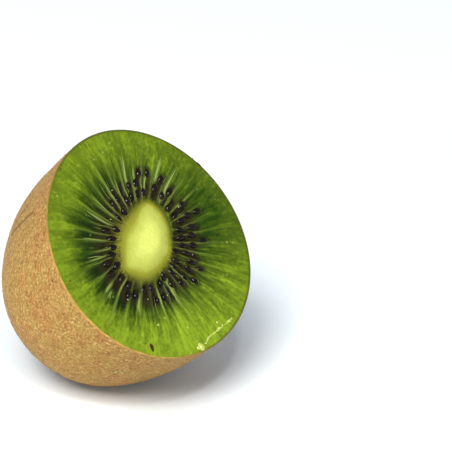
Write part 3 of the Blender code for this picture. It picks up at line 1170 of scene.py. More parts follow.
@dataclass
class Flesh(Piece):
    """The green flesh, one closed body: the cut face, the bed of the core, and the wall under the skin."""

    name: ClassVar[str] = "flesh"
    slot: ClassVar[Slot] = Slot.FLESH
    finish: ClassVar[Finish] = FleshFinish()

    rule: SeedRule
    seeds: list[SeedPlace]
    columns: int = 700
    bed_rows: int = 6
    face_rows: int = 114
    wall_rows: int = 18
    crowding: float = 1.25
    gap: float = 0.02 * MM
    wander: float = 1.3
    wander_ways: Colour = (4.0, 4.0, 2.2)
    patch_ways: Colour = (9.0, 9.0, 5.0)
    streak_ways: Colour = (40.0, 40.0, 5.0)
    streak_height: float = 0.05 * MM
    pit_depth: float = 0.15 * MM
    pit_reach: tuple[float, float] = (0.28, 0.42)
    collar_height: float = 0.26 * MM
    collar_cell: float = 1.3 * MM
    collar_reach: Reach = (0.34, 0.47, 0.58, 0.95)
    pocket_depth: float = 0.20 * MM
    pocket_draw: int = 3
    pocket_flank: float = 0.48
    pocket_start: tuple[float, float] = (0.01, 0.09)
    pocket_fade: tuple[float, float] = (-0.42, 0.08)
    pocket_stray: float = 0.12
    pocket_tones: tuple[float, float] = (0.65, 1.15)
    wall_height: float = 0.12 * MM
    wall_draw: int = 8
    wall_edge: float = 0.82
    wall_start: tuple[float, float] = (0.02, 0.10)
    wall_length: float = 0.56
    wall_stray: float = 0.20
    wall_tones: tuple[float, float] = (0.2, 1.0)
    chamber_reach: Stops = (
        # this table and the next ones: degrees and value
        (0, 0.64), (45, 0.55), (90, 0.68), (135, 0.74), (170, 0.84), (205, 0.74), (235, 0.60), (270, 0.52),
        (315, 0.52),
    )
    chamber_dark: Stops = (
        (0, 0.9), (45, 0.8), (90, 1.05), (135, 1.2), (180, 1.35), (225, 1.2), (270, 0.9), (315, 0.9),
    )
    wall_pale: Stops = (
        (0, 0.35), (30, 0.8), (60, 1.2), (90, 1.0), (130, 0.7), (180, 0.6), (200, 0.9), (230, 0.6),
        (270, 0.7), (320, 0.5),
    )
    bed_dark: Stops = (
        (0, 1.0), (45, 0.85), (90, 0.8), (135, 0.8), (180, 0.9), (225, 0.8), (270, 0.6), (315, 0.75),
    )
    bed_reach: Reach = (0.0, 0.07, 0.28, 0.46)
    # painted light on the lower part of the face, partly the flesh's own paler tone
    sunny: Stops = (
        (0, 0.0), (90, 0.05), (135, 0.04), (180, 0.06), (225, 0.34), (270, 0.56), (300, 0.25), (330, 0.05),
    )
    dusk: Stops = (
        (0, 0.18), (45, 0.30), (90, 0.60), (135, 0.80), (180, 1.05), (225, 0.65), (270, 0.32), (315, 0.22),
    )
    dusk_reach: Reach = (0.0, 0.15, 0.40, 0.90)
    # painted shade on the right side, partly the flesh's own deeper green
    shady: Stops = (
        (0, 0.85), (30, 0.5), (55, 0.12), (90, 0.03), (180, 0.0), (225, 0.0), (270, 0.0), (310, 0.12),
        (335, 0.5),
    )
    edge_dark: Stops = ((0, 0.7), (110, 0.7), (150, 0.3), (190, 0.05), (260, 0.1), (300, 0.6))
    edge_start: float = 0.975
    fine_reach: Reach = (0.0, 0.04, 0.97, 1.0)
    painted_light_and_pale_tone_start: tuple[float, float] = (0.25, 0.60)
    painted_shade_and_deep_tone_start: tuple[float, float] = (0.15, 0.45)
    seed_shade: tuple[float, float] = (0.50, 0.95)
    sunken_seed_dark: tuple[float, float] = (0.25, 0.75)
    pocket_paling: tuple[float, float] = (0.25, 0.5)
    wall_paling: tuple[float, float] = (0.2, 0.5)
    wall_fade: float = 0.2
    rays: tuple[Reach, ...] = (
        # the pale rays: degrees, shares where each starts and how far it goes, and half width in millimetres
        (37, 0.03, 0.68, 0.42), (48, 0.32, 0.42, 0.36), (57, 0.10, 0.44, 0.26), (68, 0.08, 0.50, 0.26),
        (76, 0.26, 0.44, 0.36), (88, 0.12, 0.40, 0.24), (99, 0.10, 0.46, 0.32), (117, 0.12, 0.44, 0.22),
        (133, 0.14, 0.42, 0.24), (158, 0.20, 0.40, 0.20), (176, 0.22, 0.38, 0.20), (200, 0.32, 0.22, 0.34),
        (203, 0.42, 0.15, 0.22), (228, 0.20, 0.34, 0.20), (250, 0.14, 0.36, 0.22), (268, 0.10, 0.40, 0.22),
    )
    sunken: int = 84
    sunken_at: tuple[float, float] = (3.7 * MM, 2.5 * MM)
    sunken_draw: int = 5
    grain: Grain = field(default_factory=lambda: Grain(11))

    def shape(self) -> Shape:
        """Stack the rings of the core's bed, the cut face and the wall under the skin.

        Returns:
            The closed body.
        """
        form = self.form
        angle, share = ring_grid(self.columns, np.linspace(0.0, 1.0, self.face_rows) ** self.crowding)
        squeeze = 1.0 - form.skin_thickness / form.rim * share
        flat = (value * squeeze for value in form.flesh_point(angle, share))
        face = np.stack([*flat, self.relief(angle, share)], axis=-1)
        bed = form.core_bowl(self.columns, self.bed_rows)[::-1] - (0.0, 0.0, self.gap)
        wall = form.under_skin(self.columns, self.wall_rows + 1, form.skin_thickness + self.gap)[1:]
        rings = np.concatenate([bed, face, wall])
        paint = {
            name: np.concatenate([value[:1]] * self.bed_rows + [value] + [value[-1:]] * self.wall_rows)
            for name, value in self.paint(angle, share).items()
        }
        bottom = (*form.core_middle, -form.core_depth - self.gap)
        return Shape.from_rings(rings, bottom, rings[-1].mean(axis=0), **paint)

    def surface(self, angle: Array, share: Array) -> Array:
        """Points on the finished cut face, three numbers along the last axis."""
        return np.stack([*self.form.flesh_point(angle, share), self.relief(angle, share)], axis=-1)

    def _ray(self, angle: Array, share: Array) -> Array:
        """Coordinates without a seam: the cosine and the sine of the angle, and the share."""
        return np.stack([np.cos(angle), np.sin(angle), share], axis=-1)

    def _phase(self, angle: Array, share: Array) -> Array:
        """How far round its chamber a point is, as an angle. The chambers' sides wander a little."""
        wander = self.grain.layered(self._ray(angle, share) * self.wander_ways, 1.0, 2)
        return self.form.chambers * angle + self.wander * wander

    def chamber_mask(self, angle: Array, share: Array) -> Array:
        """How far a point is inside a dark seed chamber, a long slot between two walls.

        A slot starts at the core and ends at its own reach, which is longest to the left of the core.

        Args:
            angle: angles of the points.
            share: their shares.

        Returns:
            0 outside the chambers, and each chamber's own darkness inside it.
        """
        phase, chambers = self._phase(angle, share), self.form.chambers
        number = np.floor(phase / TURN).astype(int) % chambers
        draw = np.random.RandomState(self.pocket_draw)
        stray = draw.uniform(-self.pocket_stray, self.pocket_stray, chambers)[number]
        reach = around(self.chamber_reach, angle) + stray
        darkness = around(self.chamber_dark, angle) * draw.uniform(*self.pocket_tones, chambers)[number]
        slot = soft_step(0.0, self.pocket_flank, 0.5 - 0.5 * np.cos(phase))
        fading = 1.0 - soft_step(reach + self.pocket_fade[0], reach + self.pocket_fade[1], share)
        paling = 1.0 - 0.2 * soft_step(*self.pocket_paling, share)
        return slot * darkness * soft_step(*self.pocket_start, share) * fading * paling

    def wall_mask(self, angle: Array, share: Array) -> Array:
        """How far a point is on a pale wall between two chambers, strongest to the upper right.

        Args:
            angle: angles of the points.
            share: their shares.

        Returns:
            0 beside the walls, and each wall's own strength on it.
        """
        phase, chambers = self._phase(angle, share), self.form.chambers
        number = np.round(phase / TURN).astype(int) % chambers
        draw = np.random.RandomState(self.wall_draw)
        strength = around(self.wall_pale, angle) * draw.uniform(*self.wall_tones, chambers)[number]
        reach = self.wall_length + self.wall_stray * draw.uniform(-1.0, 1.0, chambers)[number]
        ridge = soft_step(self.wall_edge, 1.0, 0.5 + 0.5 * np.cos(phase))
        paling = 1.2 - 0.4 * soft_step(*self.wall_paling, share)
        fading = 1.0 - soft_step(reach - self.wall_fade, reach + self.wall_fade, share)
        return ridge * paling * strength * soft_step(*self.wall_start, share) * fading

    def ray_mask(self, angle: Array, share: Array) -> Array:
        """How far a point is on one of the pale rays: a bell across the ray times a plateau along it.

        Args:
            angle: angles of the points.
            share: their shares.

        Returns:
            From 0 beside the rays to 1 in the middle of one.
        """
        radius = np.hypot(*self.form.flesh_point(angle, share))
        palest = np.zeros(share.shape)
        for degrees, start, reach, half_width in self.rays:
            aside = ((angle - math.radians(degrees) + math.pi) % TURN - math.pi) * radius
            bell = np.exp(-((aside / (half_width * MM)) ** 2))
            ends = (start - 0.06, start + 0.25 * reach, start + 0.5 * reach, start + reach)
            palest = np.maximum(palest, bell * plateau(ends, share))
        return palest

    def seed_distance(self, places: list[SeedPlace], angle: Array, share: Array) -> Array:
        """Distance to the nearest seed.

        Args:
            places: the seeds.
            angle: angles of the points.
            share: their shares.

        Returns:
            The distance in seed lengths, stretched so that 0.5 is the seed's outline.
        """
        x, y = self.form.flesh_point(angle, share)
        nearest = np.full(x.shape, 9.0)
        for place in places:
            along, across = math.cos(place.heading), math.sin(place.heading)
            gap_x, gap_y = x - place.point.x, y - place.point.y
            forward = (gap_x * along + gap_y * across) / (self.rule.length * place.size)
            aside = (gap_y * along - gap_x * across) / (self.rule.width * place.size)
            nearest = np.minimum(nearest, np.hypot(forward, aside))
        return nearest

    def relief(self, angle: Array, share: Array) -> Array:
        """Height of the cut face: the main relief, with sunken chambers, low walls, streaks and seed collars.

        A collar is a low, uneven ring that laps over each seed's outline, and the flesh dips under the seed.

        Args:
            angle: angles of the points.
            share: their shares.

        Returns:
            Their heights over the cut.
        """
        near = self.seed_distance(self.seeds, angle, share)
        x, y = self.form.flesh_point(angle, share)
        uneven = self.grain.at(np.stack([x, y, np.zeros_like(x)], axis=-1), self.collar_cell)
        streaks = self.grain.layered(self._ray(angle, share) * self.streak_ways, 1.0, 2)
        inset = plateau(self.fine_reach, share)
        fine = (
            self.wall_height * self.wall_mask(angle, share)
            - self.pocket_depth * self.chamber_mask(angle, share)
            + self.streak_height * streaks
            + self.collar_height * plateau(self.collar_reach, near) * (0.75 + 0.6 * uneven)
            - self.pit_depth * (1.0 - soft_step(*self.pit_reach, near))
        )
        return self.form.flesh_height(angle, share) + fine * inset

    def paint(self, angle: Array, share: Array) -> dict[str, Array]:
        """Values for the flesh's material.

        Args:
            angle: angles of the cut face's points.
            share: their shares.

        Returns:
            One value for each point, or three, under each name.
        """
        draw = random.Random(self.sunken_draw)
        sunken = [self.rule.draw_place(draw, draw.randrange(self.form.chambers), *self.sunken_at)
                  for _ in range(self.sunken)]
        near = self.seed_distance(self.seeds, angle, share)
        deep = self.seed_distance(sunken, angle, share)
        patchy = self.grain.layered(self._ray(angle, share) * self.patch_ways, 1.0, 3)
        bed = plateau(self.bed_reach, share + 0.04 * patchy) * (0.75 + 0.7 * patchy)
        # painted shade round each visible seed
        seed_shade = (1.0 - soft_step(*self.seed_shade, near)) * (0.65 + 0.5 * patchy)
        # the own dark of seeds sunk deeper in the flesh, seen through it
        sunken_seed_dark = (1.0 - soft_step(*self.sunken_seed_dark, deep)) * 0.9
        # painted light on the lower part of the face, partly the flesh's own paler tone
        sunny = around(self.sunny, angle) * soft_step(*self.painted_light_and_pale_tone_start, share)
        # painted shade on the right side, partly the flesh's own deeper green
        shady = around(self.shady, angle) * soft_step(*self.painted_shade_and_deep_tone_start, share)
        return {
            "ray": self._ray(angle, share),
            "share": share,
            "tone": CoreTone(self.form).at(*self.form.flesh_point(angle, share)),
            "sunny": sunny + 0.04 * soft_step(0.5, 0.9, share),
            "shady": shady * (1.0 - 0.25 * soft_step(0.7, 0.9, share))
            + around(self.dusk, angle) * plateau(self.dusk_reach, share),
            "chamber": self.chamber_mask(angle, share),
            "wall": self.wall_mask(angle, share),
            "bed": np.clip(bed * around(self.bed_dark, angle), 0.0, 1.0),
            "aril": np.maximum(seed_shade, sunken_seed_dark),
            "strand": self.ray_mask(angle, share),
            "edge": soft_step(self.edge_start, 1.0, share) * around(self.edge_dark, angle),
        }


@dataclass
class Core(Piece):
    """The pale core: a plug with a low dome on the cut face and a round bottom in the flesh."""

    name: ClassVar[str] = "core"
    slot: ClassVar[Slot] = Slot.CORE
    finish: ClassVar[Finish] = CoreFinish()

    columns: int = 240
    dome_rows: int = 44
    plug_rows: int = 10
    grain_height: float = 0.035 * MM
    grain_cell: float = 0.7 * MM
    grain: Grain = field(default_factory=lambda: Grain(23))

    def shape(self) -> Shape:
        """Stack the rings of the dome, which follows the core's height with fine unevenness, and the bowl.

        Returns:
            The closed plug.
        """
        form = self.form
        angle, share = ring_grid(self.columns, np.linspace(0.0, 1.0, self.dome_rows + 1)[1:])
        x, y = form.core_point(angle, share)
        uneven = self.grain.layered(np.stack([x, y, np.zeros_like(x)], axis=-1), self.grain_cell, 2)
        height = form.core_height(share) + self.grain_height * uneven * (1.0 - soft_step(0.8, 1.0, share))
        dome = np.stack([x, y, height], axis=-1)
        rings = np.concatenate([dome, form.core_bowl(self.columns, self.plug_rows)])
        top, bottom = ((*form.core_middle, height) for height in (form.core_height(0.0), -form.core_depth))
        return Shape.from_rings(rings, top, bottom, tone=CoreTone(form).at(rings[..., 0], rings[..., 1]))


@dataclass
class Skin(Piece):
    """The brown skin, a thin closed shell with its cut lip round the face."""

    name: ClassVar[str] = "skin"
    slot: ClassVar[Slot] = Slot.SKIN
    finish: ClassVar[Finish] = SkinFinish()

    columns: int = 520
    outer_rows: int = 165
    inner_rows: int = 14
    lip_rows: int = 3
    lip_rise: float = 0.04 * MM
    lip_ragged: float = 0.10 * MM
    lip_stop: float = 0.004
    lip_across: tuple[float, float] = (0.15, 0.85)
    lip_waves: float = 30.0
    lump_height: float = 0.07 * MM
    lump_cell: float = 2.6 * MM
    pimple_height: float = 0.035 * MM
    pimple_cell: float = 0.8 * MM
    smooth_stop: float = 0.03
    crease_depth: float = 0.10 * MM
    crease_edge: tuple[float, float] = (0.5 * MM, 0.1 * MM)
    stop_length: float = 95.0 * MM
    creases: tuple[Reach, ...] = (
        # degrees and stop at either end
        (136.0, 0.252, 137.5, 0.075), (130.5, 0.222, 128.5, 0.130), (299.0, 0.40, 305.0, 0.45),
        (22.0, 0.30, 17.0, 0.37),
    )
    # darker towards the stem end, which lies underneath: partly its own browning, partly painted shade
    stem_and_underside_shade_reach: tuple[float, float] = (0.60, 1.0)
    stem_and_underside_shade_strength: float = 0.75
    # painted shade on the skin near the rim, most below the cut face and at its upper left
    skin_painted_shade: Stops = (
        (0, 0.10), (60, 0.10), (110, 0.15), (140, 0.16), (170, 0.0), (215, 0.0), (245, 0.22), (270, 0.36),
        (300, 0.30), (330, 0.15),
    )
    skin_painted_shade_reach: tuple[float, float] = (0.25, 0.60)
    warm_lip: Stops = ((20, 0.1), (110, 0.1), (150, 0.6), (190, 1.0), (240, 0.9), (275, 0.2))
    scabs: tuple[tuple[float, float, float], ...] = (
        # degrees, stop and radius
        (177.2, 0.030, 0.42 * MM), (214.0, 0.16, 0.30 * MM), (62.0, 0.22, 0.50 * MM),
        (330.0, 0.30, 0.40 * MM),
    )
    farthest_scab: float = 3.0
    grain: Grain = field(default_factory=lambda: Grain(41))

    def grid(self) -> tuple[Array, Array]:
        """Angle and stop of every point of the outside."""
        return ring_grid(self.columns, np.linspace(0.0, self.form.last_stop, self.outer_rows))

    def outside(self, angle: Array, stop: Array) -> Array:
        """Points of the outside: the skin's formula, with lumps, pimples and creases along its normals.

        Args:
            angle: angles of the points.
            stop: their stops.

        Returns:
            The points, three numbers along the last axis.
        """
        points = self.form.skin_points(angle, stop)
        lumps = self.grain.layered(points, self.lump_cell, 2)
        pimples = self.grain.layered(points, self.pimple_cell, 2)
        creases = soft_step(*self.crease_edge, self.crease_distance(angle, stop))
        height = self.lump_height * lumps + self.pimple_height * pimples - self.crease_depth * creases
        height = height * soft_step(0.0, self.smooth_stop, stop)
        return points + grid_normals(points) * height[..., None]

    def _flat(self, angle: Array, stop: Array, middle: float) -> Array:
        """Lay the skin near an angle out flat: how far round from it, and how far down from the rim."""
        round_it = (angle - middle + math.pi) % TURN - math.pi
        return np.stack([round_it * self.form.rim, stop * self.stop_length], axis=-1)

    def crease_distance(self, angle: Array, stop: Array) -> Array:
        """Distance to the nearest of the fine creases, each a straight line on the laid out skin.

        Args:
            angle: angles of the points.
            stop: their stops.

        Returns:
            The distance, at most 1 mm.
        """
        nearest = np.full(stop.shape, MM)
        for first, first_stop, last, last_stop in self.creases:
            middle = math.radians(first)
            start = self._flat(np.array(middle), np.array(first_stop), middle)
            line = self._flat(np.array(math.radians(last)), np.array(last_stop), middle) - start
            away = self._flat(angle, stop, middle) - start
            along = np.clip(away @ line / (line @ line), 0.0, 1.0)
            nearest = np.minimum(nearest, np.linalg.norm(away - along[..., None] * line, axis=-1))
        return nearest

    def scab_distance(self, angle: Array, stop: Array) -> Array:
        """Distance to the nearest scab, on the laid out skin.

        Args:
            angle: angles of the points.
            stop: their stops.

        Returns:
            The distance in the scab's own radii.
        """
        nearest = np.full(stop.shape, self.farthest_scab)
        for degrees, at, radius in self.scabs:
            away = self._flat(angle, stop, math.radians(degrees)) - (0.0, at * self.stop_length)
            nearest = np.minimum(nearest, np.linalg.norm(away, axis=-1) / radius)
        return nearest

    def shape(self) -> Shape:
        """Stack the shell's rings from the inside up, over the lip and down the outside.

        Returns:
            The closed shell.
        """
        form = self.form
        angle, stop = self.grid()
        inside = form.under_skin(self.columns, self.inner_rows, form.skin_thickness)[::-1]
        rings = np.concatenate([inside, self._lip(), self.outside(angle, stop)])
        # painted shade near the rim, and darker towards the stem end, which lies underneath: partly its own
        # browning, partly painted shade
        skin_painted_shade = around(self.skin_painted_shade, angle) * (1.0 - soft_step(*self.skin_painted_shade_reach, stop))
        stem = soft_step(*self.stem_and_underside_shade_reach, form.meridian(stop)[1]) * self.stem_and_underside_shade_strength
        paint = {
            "lip": self._over_rows(1.0, np.where(stop < self.lip_stop, 1.0, 0.0)),
            # the stem end's browning and the painted shade, together
            "stem": self._over_rows(0.0, np.maximum(stem, skin_painted_shade)),
            "crease": self._over_rows(1.0, self.crease_distance(angle, stop) / MM),
            "scab": self._over_rows(self.farthest_scab, self.scab_distance(angle, stop)),
            "warm_lip": np.tile(around(self.warm_lip, ring_angles(self.columns)), (len(rings), 1)),
        }
        return Shape.from_rings(rings, inside[0].mean(axis=0), (0.0, 0.0, -form.length), **paint)

    def _over_rows(self, inside: float, outside: Array) -> Array:
        """Values for every ring: one number on the inside and the lip, and the given rows outside."""
        return np.concatenate([np.full((self.inner_rows + self.lip_rows, self.columns), inside), outside])

    def _lip(self) -> Array:
        """Rings over the cut edge: its height is a half sine, made ragged with noise.

        Returns:
            The rings, from the inside out.
        """
        angle, across = ring_grid(self.columns, np.linspace(*self.lip_across, self.lip_rows))
        radius = self.form.rim_radius(angle) - self.form.skin_thickness * (1.0 - across)
        spot = np.stack([np.cos(angle), np.sin(angle), across], axis=-1) * self.lip_waves
        ragged = self.grain.layered(spot, 1.0, 2)
        height = (self.lip_rise + self.lip_ragged * np.clip(ragged, 0.0, None)) * np.sin(math.pi * across)
        return np.stack([radius * np.cos(angle), radius * np.sin(angle), height], axis=-1)


@dataclass
class Fuzz(Piece):
    """Short hairs all over the skin, as one joined mesh of thin bent cones with three sides."""

    name: ClassVar[str] = "fuzz"
    slot: ClassVar[Slot] = Slot.SKIN
    finish: ClassVar[Finish] = FuzzFinish()
    quads: ClassVar[Array] = np.array([[0, 1, 4, 3], [1, 2, 5, 4], [2, 0, 3, 5]])
    triangles: ClassVar[Array] = np.array([[0, 2, 1], [3, 4, 6], [4, 5, 6], [5, 3, 6]])

    skin: Skin
    count: int = 16000
    length: tuple[float, float] = (0.25 * MM, 0.70 * MM)
    radius: tuple[float, float] = (0.020 * MM, 0.036 * MM)
    lift: tuple[float, float] = (0.12, 0.55)
    swirl: float = 0.9
    droop: float = 0.35
    sections: Stops = (
        # way along the hair, and share of its radius there
        (-0.1, 1.0), (0.5, 0.7),
    )
    clear_of_ground: float = 0.5 * MM
    draw_from: int = 77

    def shape(self) -> Shape:
        """Plant the hairs evenly over the skin's area.

        A hair's line starts at its root, leaves the skin at its lift and bends back towards it with the
        square of the way along. Its radius falls to a point.

        Returns:
            All hairs as one shape.
        """
        draw = np.random.RandomState(self.draw_from)
        roots, normals = self._roots(draw)
        down = unit(np.cross(normals, np.cross((0.0, 0.0, -1.0), normals)))
        swirl, lift, length, radius = (
            values[:, None] for values in (
                draw.normal(0.0, self.swirl, len(roots)),
                draw.uniform(*self.lift, len(roots)),
                draw.uniform(*self.length, len(roots)),
                draw.uniform(*self.radius, len(roots)),
            )
        )
        lying = down * np.cos(swirl) + np.cross(normals, down) * np.sin(swirl)
        heading = lying * np.sqrt(1.0 - lift**2) + normals * lift
        side = unit(np.cross(heading, normals))
        other = np.cross(heading, side)
        rings = []
        for along, thick in self.sections:
            middle = roots + heading * length * along - normals * length * self.droop * along**2
            for turn in ring_angles(3):
                rings.append(middle + (side * math.cos(turn) + other * math.sin(turn)) * radius * thick)
        points = np.stack([*rings, roots + heading * length - normals * length * self.droop], axis=1)
        pattern = Shape(points[0], [self.quads, self.triangles])
        return Shape.copies(pattern, points, tone=draw.beta(2.0, 2.4, len(roots)))

    def _roots(self, draw: np.random.RandomState) -> tuple[Array, Array]:
        """Draw the hairs' roots, as many for each piece of area everywhere but close to the ground.

        Args:
            draw: the source of random numbers.

        Returns:
            The roots, and the skin's normals there.
        """
        points = self.skin.outside(*self.skin.grid())
        normals = grid_normals(points)
        after, below = np.roll(points, -1, axis=1) - points, np.roll(points, -1, axis=0) - points
        area = np.linalg.norm(np.cross(after, below), axis=-1)[:-1]
        area[0] = 0.0
        chosen = draw.choice(area.size, self.count, p=area.ravel() / area.sum())
        row, column = np.unravel_index(chosen, area.shape)
        one, two = draw.uniform(0.0, 1.0, (2, self.count, 1))
        roots = points[row, column] + after[row, column] * one + below[row, column] * two
        dry = self.form.to_frame(roots)[:, 2] > self.clear_of_ground
        return roots[dry], normals[row, column][dry]


@dataclass
class Seeds(Piece):
    """The black seeds, drop-shaped, with their points towards the core."""

    name: ClassVar[str] = "seeds"
    slot: ClassVar[Slot] = Slot.SEED
    finish: ClassVar[Finish] = SeedFinish()

    rule: SeedRule
    places: list[SeedPlace]
    columns: int = 18
    rows: int = 13
    fullness: float = 1.7
    bluntness: float = 0.75
    blunt_end: float = 0.10
    tip_from: float = -0.3
    shrink: float = 0.12
    slim: float = 0.88
    dip: float = math.radians(9.0)
    settle: float = 0.06 * MM
    draw_from: int = 31

    def shape(self) -> Shape:
        """Repeat one pattern in every seed's place.

        A seed's radius is one less a power of the way from its middle, to a power below one, so both ends are
        drawn to a point, and it grows evenly towards the blunt end. Each seed is then sized, dipped at one
        end, turned to its heading and moved to its place.

        Returns:
            All seeds as one shape.
        """
        draw, rule, count = np.random.RandomState(self.draw_from), self.rule, len(self.places)
        turn, way = ring_grid(self.columns, -np.cos(np.linspace(0.0, math.pi, self.rows + 2)[1:-1]))
        radius = (1.0 - np.abs(way) ** self.fullness) ** self.bluntness * (1.0 + self.blunt_end * way)
        rings = np.stack([way, radius * np.cos(turn), -radius * np.sin(turn)], axis=-1)
        tip = soft_step(self.tip_from, -1.0, way)
        pattern = Shape.from_rings(rings, (-1.0, 0.0, 0.0), (1.0, 0.0, 0.0), tip=tip)
        sizes = np.array([place.size for place in self.places])
        sizes = sizes * (1.0 - self.shrink * draw.uniform(0.0, 1.0, count))
        halves = sizes[:, None] * np.array([rule.length, rule.width * self.slim, rule.thickness]) / 2.0
        local = pattern.points[None] * halves[:, None]
        local[..., 2] += local[..., 0] * np.tan(draw.uniform(-self.dip, self.dip, count))[:, None]
        middle = np.array([[*place.point, place.height - rule.sink] for place in self.places])
        middle[:, 2] -= draw.uniform(0.0, self.settle, count)
        points = headed(local, np.array([place.heading for place in self.places])) + middle[:, None]
        return Shape.copies(pattern, points, tone=draw.uniform(0.0, 1.0, count))


@dataclass
class Fibres(Piece):
    """Pale strands that run outwards in the flesh: one along each pale ray, and fine ones spread round the
    face.
    """

    name: ClassVar[str] = "fibres"
    slot: ClassVar[Slot] = Slot.FLESH
    finish: ClassVar[Finish] = FibreFinish()

    flesh: Flesh
    steps: int = 26
    sides: int = 8
    slim: float = 0.42
    fine: int = 34
    fine_stray: float = 0.4
    fine_start: tuple[float, float] = (0.05, 0.35)
    fine_reach: tuple[float, float] = (0.15, 0.35)
    fine_width: tuple[float, float] = (0.04 * MM, 0.08 * MM)
    fine_fade: tuple[float, float] = (0.3, 0.8)
    ray_fade: tuple[float, float] = (0.0, 0.2)
    sway: float = 0.012
    flatness: float = 0.35
    draw_from: int = 19

    def shape(self) -> Shape:
        """Lay the pale rays' strands and some fine ones on the cut face.

        Returns:
            All strands as one shape.
        """
        draw, fine = np.random.RandomState(self.draw_from), self.fine
        degrees, start, reach, width = np.array(self.flesh.rays).T
        fine_angle = TURN * (np.arange(fine) + draw.uniform(-self.fine_stray, self.fine_stray, fine)) / fine
        angle = np.concatenate([np.radians(degrees), fine_angle])
        start = np.concatenate([start, draw.uniform(*self.fine_start, fine)])
        reach = np.concatenate([reach, draw.uniform(*self.fine_reach, fine)])
        width = np.concatenate([width * self.slim * MM, draw.uniform(*self.fine_width, fine)])
        fade = np.concatenate([
            draw.uniform(*self.ray_fade, len(degrees)), draw.uniform(*self.fine_fade, fine),
        ])
        sway = draw.normal(0.0, self.sway, (len(angle), 2))
        along = np.linspace(0.0, 1.0, self.steps)
        line_angle = angle[:, None] + sway[:, :1] * np.sin(3.0 * along) + sway[:, 1:] * along**2
        middle = self.flesh.surface(line_angle, start[:, None] + reach[:, None] * along)
        return self._strands(middle, width, fade)

    def _strands(self, middle: Array, width: Array, fade: Array) -> Shape:
        """Carry a flat oval profile along each strand's line.

        Its width is a power of a sine of the way along, so it tapers to both ends, and it is half sunk in the
        flesh.

        Args:
            middle: the lines' points, strands along the first axis.
            width: each strand's greatest half width.
            fade: how green each strand is.

        Returns:
            All strands as one shape, with its fade painted on.
        """
        count, along = len(middle), np.linspace(0.0, 1.0, self.steps)
        ahead = unit(np.gradient(middle, axis=1))
        aside, turn = np.cross((0.0, 0.0, 1.0), ahead), ring_angles(self.sides)
        half = (width[:, None] * np.sin(math.pi * (0.02 + 0.96 * along)) ** 0.9)[..., None, None]
        rise = np.outer(self.flatness * np.sin(turn), (0.0, 0.0, 1.0))
        rings = middle[:, :, None] + half * (np.cos(turn)[:, None] * aside[:, :, None] + rise)
        first = middle[:, 0] - ahead[:, 0] * width[:, None]
        last = middle[:, -1] + ahead[:, -1] * width[:, None]
        pattern = Shape.from_rings(rings[0], first[0], last[0])
        points = np.concatenate([first[:, None], rings.reshape(count, -1, 3), last[:, None]], axis=1)
        across = 1.0 - np.clip(np.sin(turn), 0.0, 1.0)
        length_fade = fade[:, None] + 1.6 * np.abs(along - 0.45) ** 2
        ring_fade = (length_fade[..., None] + 1.1 * across).reshape(count, -1)
        shape, ends = Shape.copies(pattern, points), np.ones((count, 1))
        shape.paint["fade"] = np.clip(np.concatenate([ends, ring_fade, ends], axis=1), 0.0, 1.0).ravel()
        return shape


@dataclass
class Juice(Piece):
    """Small beads of juice on the cut face: among the seeds, and at the lowest part of the rim."""

    name: ClassVar[str] = "juice"
    slot: ClassVar[Slot] = Slot.JUICE
    finish: ClassVar[Finish] = JuiceFinish()

    flesh: Flesh
    scattered: int = 20
    scatter_reach: tuple[float, float] = (0.03, 0.36)
    scatter_cloud: tuple[float, float] = (0.0, 0.3)
    stretch: tuple[float, float] = (1.0, 1.8)
    columns: int = 18
    rows: int = 9
    radius: tuple[float, float] = (0.06 * MM, 0.16 * MM)
    beads: tuple[Reach, ...] = (
        # angle in degrees, share, radius, and how much longer it is than wide along the rim
        (265.6, 0.950, 0.86 * MM, 0.8), (265.0, 0.925, 0.62 * MM, 0.8), (263.8, 0.945, 0.45 * MM, 1.2),
        (282.4, 0.892, 0.36 * MM, 1.3), (283.7, 0.831, 0.26 * MM, 1.2), (290.6, 0.922, 0.34 * MM, 1.4),
        (241.5, 0.590, 0.26 * MM, 1.0), (262.5, 0.695, 0.18 * MM, 1.2),
    )
    bead_cloud: float = 0.85
    trail: Stops = (
        # angles in degrees and shares along the thin line of juice
        (265.0, 0.950), (269.5, 0.925), (273.8, 0.889), (278.0, 0.886), (282.4, 0.892), (286.5, 0.905),
        (293.5, 0.928),
    )
    trail_beads: int = 46
    trail_spread: float = 0.006
    trail_size: float = 1.4
    trail_cloud: tuple[float, float] = (0.5, 1.0)
    flatness: float = 0.55
    draw_from: int = 53

    def shape(self) -> Shape:
        """Set the beads on the flesh. Each is a flattened ball, half sunk in it and longer along the rim.

        Returns:
            All beads as one shape.
        """
        draw, few, many = np.random.RandomState(self.draw_from), self.scattered, self.trail_beads
        bead_angle, bead_share, bead_radius, bead_long = np.array(self.beads).T
        trail_angle, trail_share = np.array(self.trail).T
        along = np.sort(draw.uniform(trail_angle[0], trail_angle[-1], many))
        beside = np.interp(along, trail_angle, trail_share) + draw.normal(0.0, self.trail_spread, many)
        angle = np.concatenate([draw.uniform(0.0, TURN, few), np.radians(along), np.radians(bead_angle)])
        share = np.concatenate([draw.uniform(*self.scatter_reach, few), beside, bead_share])
        radius = np.concatenate([draw.uniform(*self.radius, few + many), bead_radius])
        radius[few : few + many] *= self.trail_size
        longer = np.concatenate([draw.uniform(*self.stretch, few + many), bead_long])
        beads_cloudy = np.full(len(bead_angle), self.bead_cloud)
        cloudy = np.concatenate([
            draw.uniform(*self.scatter_cloud, few), draw.uniform(*self.trail_cloud, many), beads_cloudy,
        ])
        wide, flat = np.ones_like(longer), np.full_like(longer, self.flatness)
        sizes = radius[:, None] * np.stack([wide, longer, flat], axis=1)
        pattern = Shape.ball(self.columns, self.rows)
        points = self.flesh.surface(angle, share)[:, None] + headed(pattern.points * sizes[:, None], angle)
        return Shape.copies(pattern, points, cloudy=cloudy)


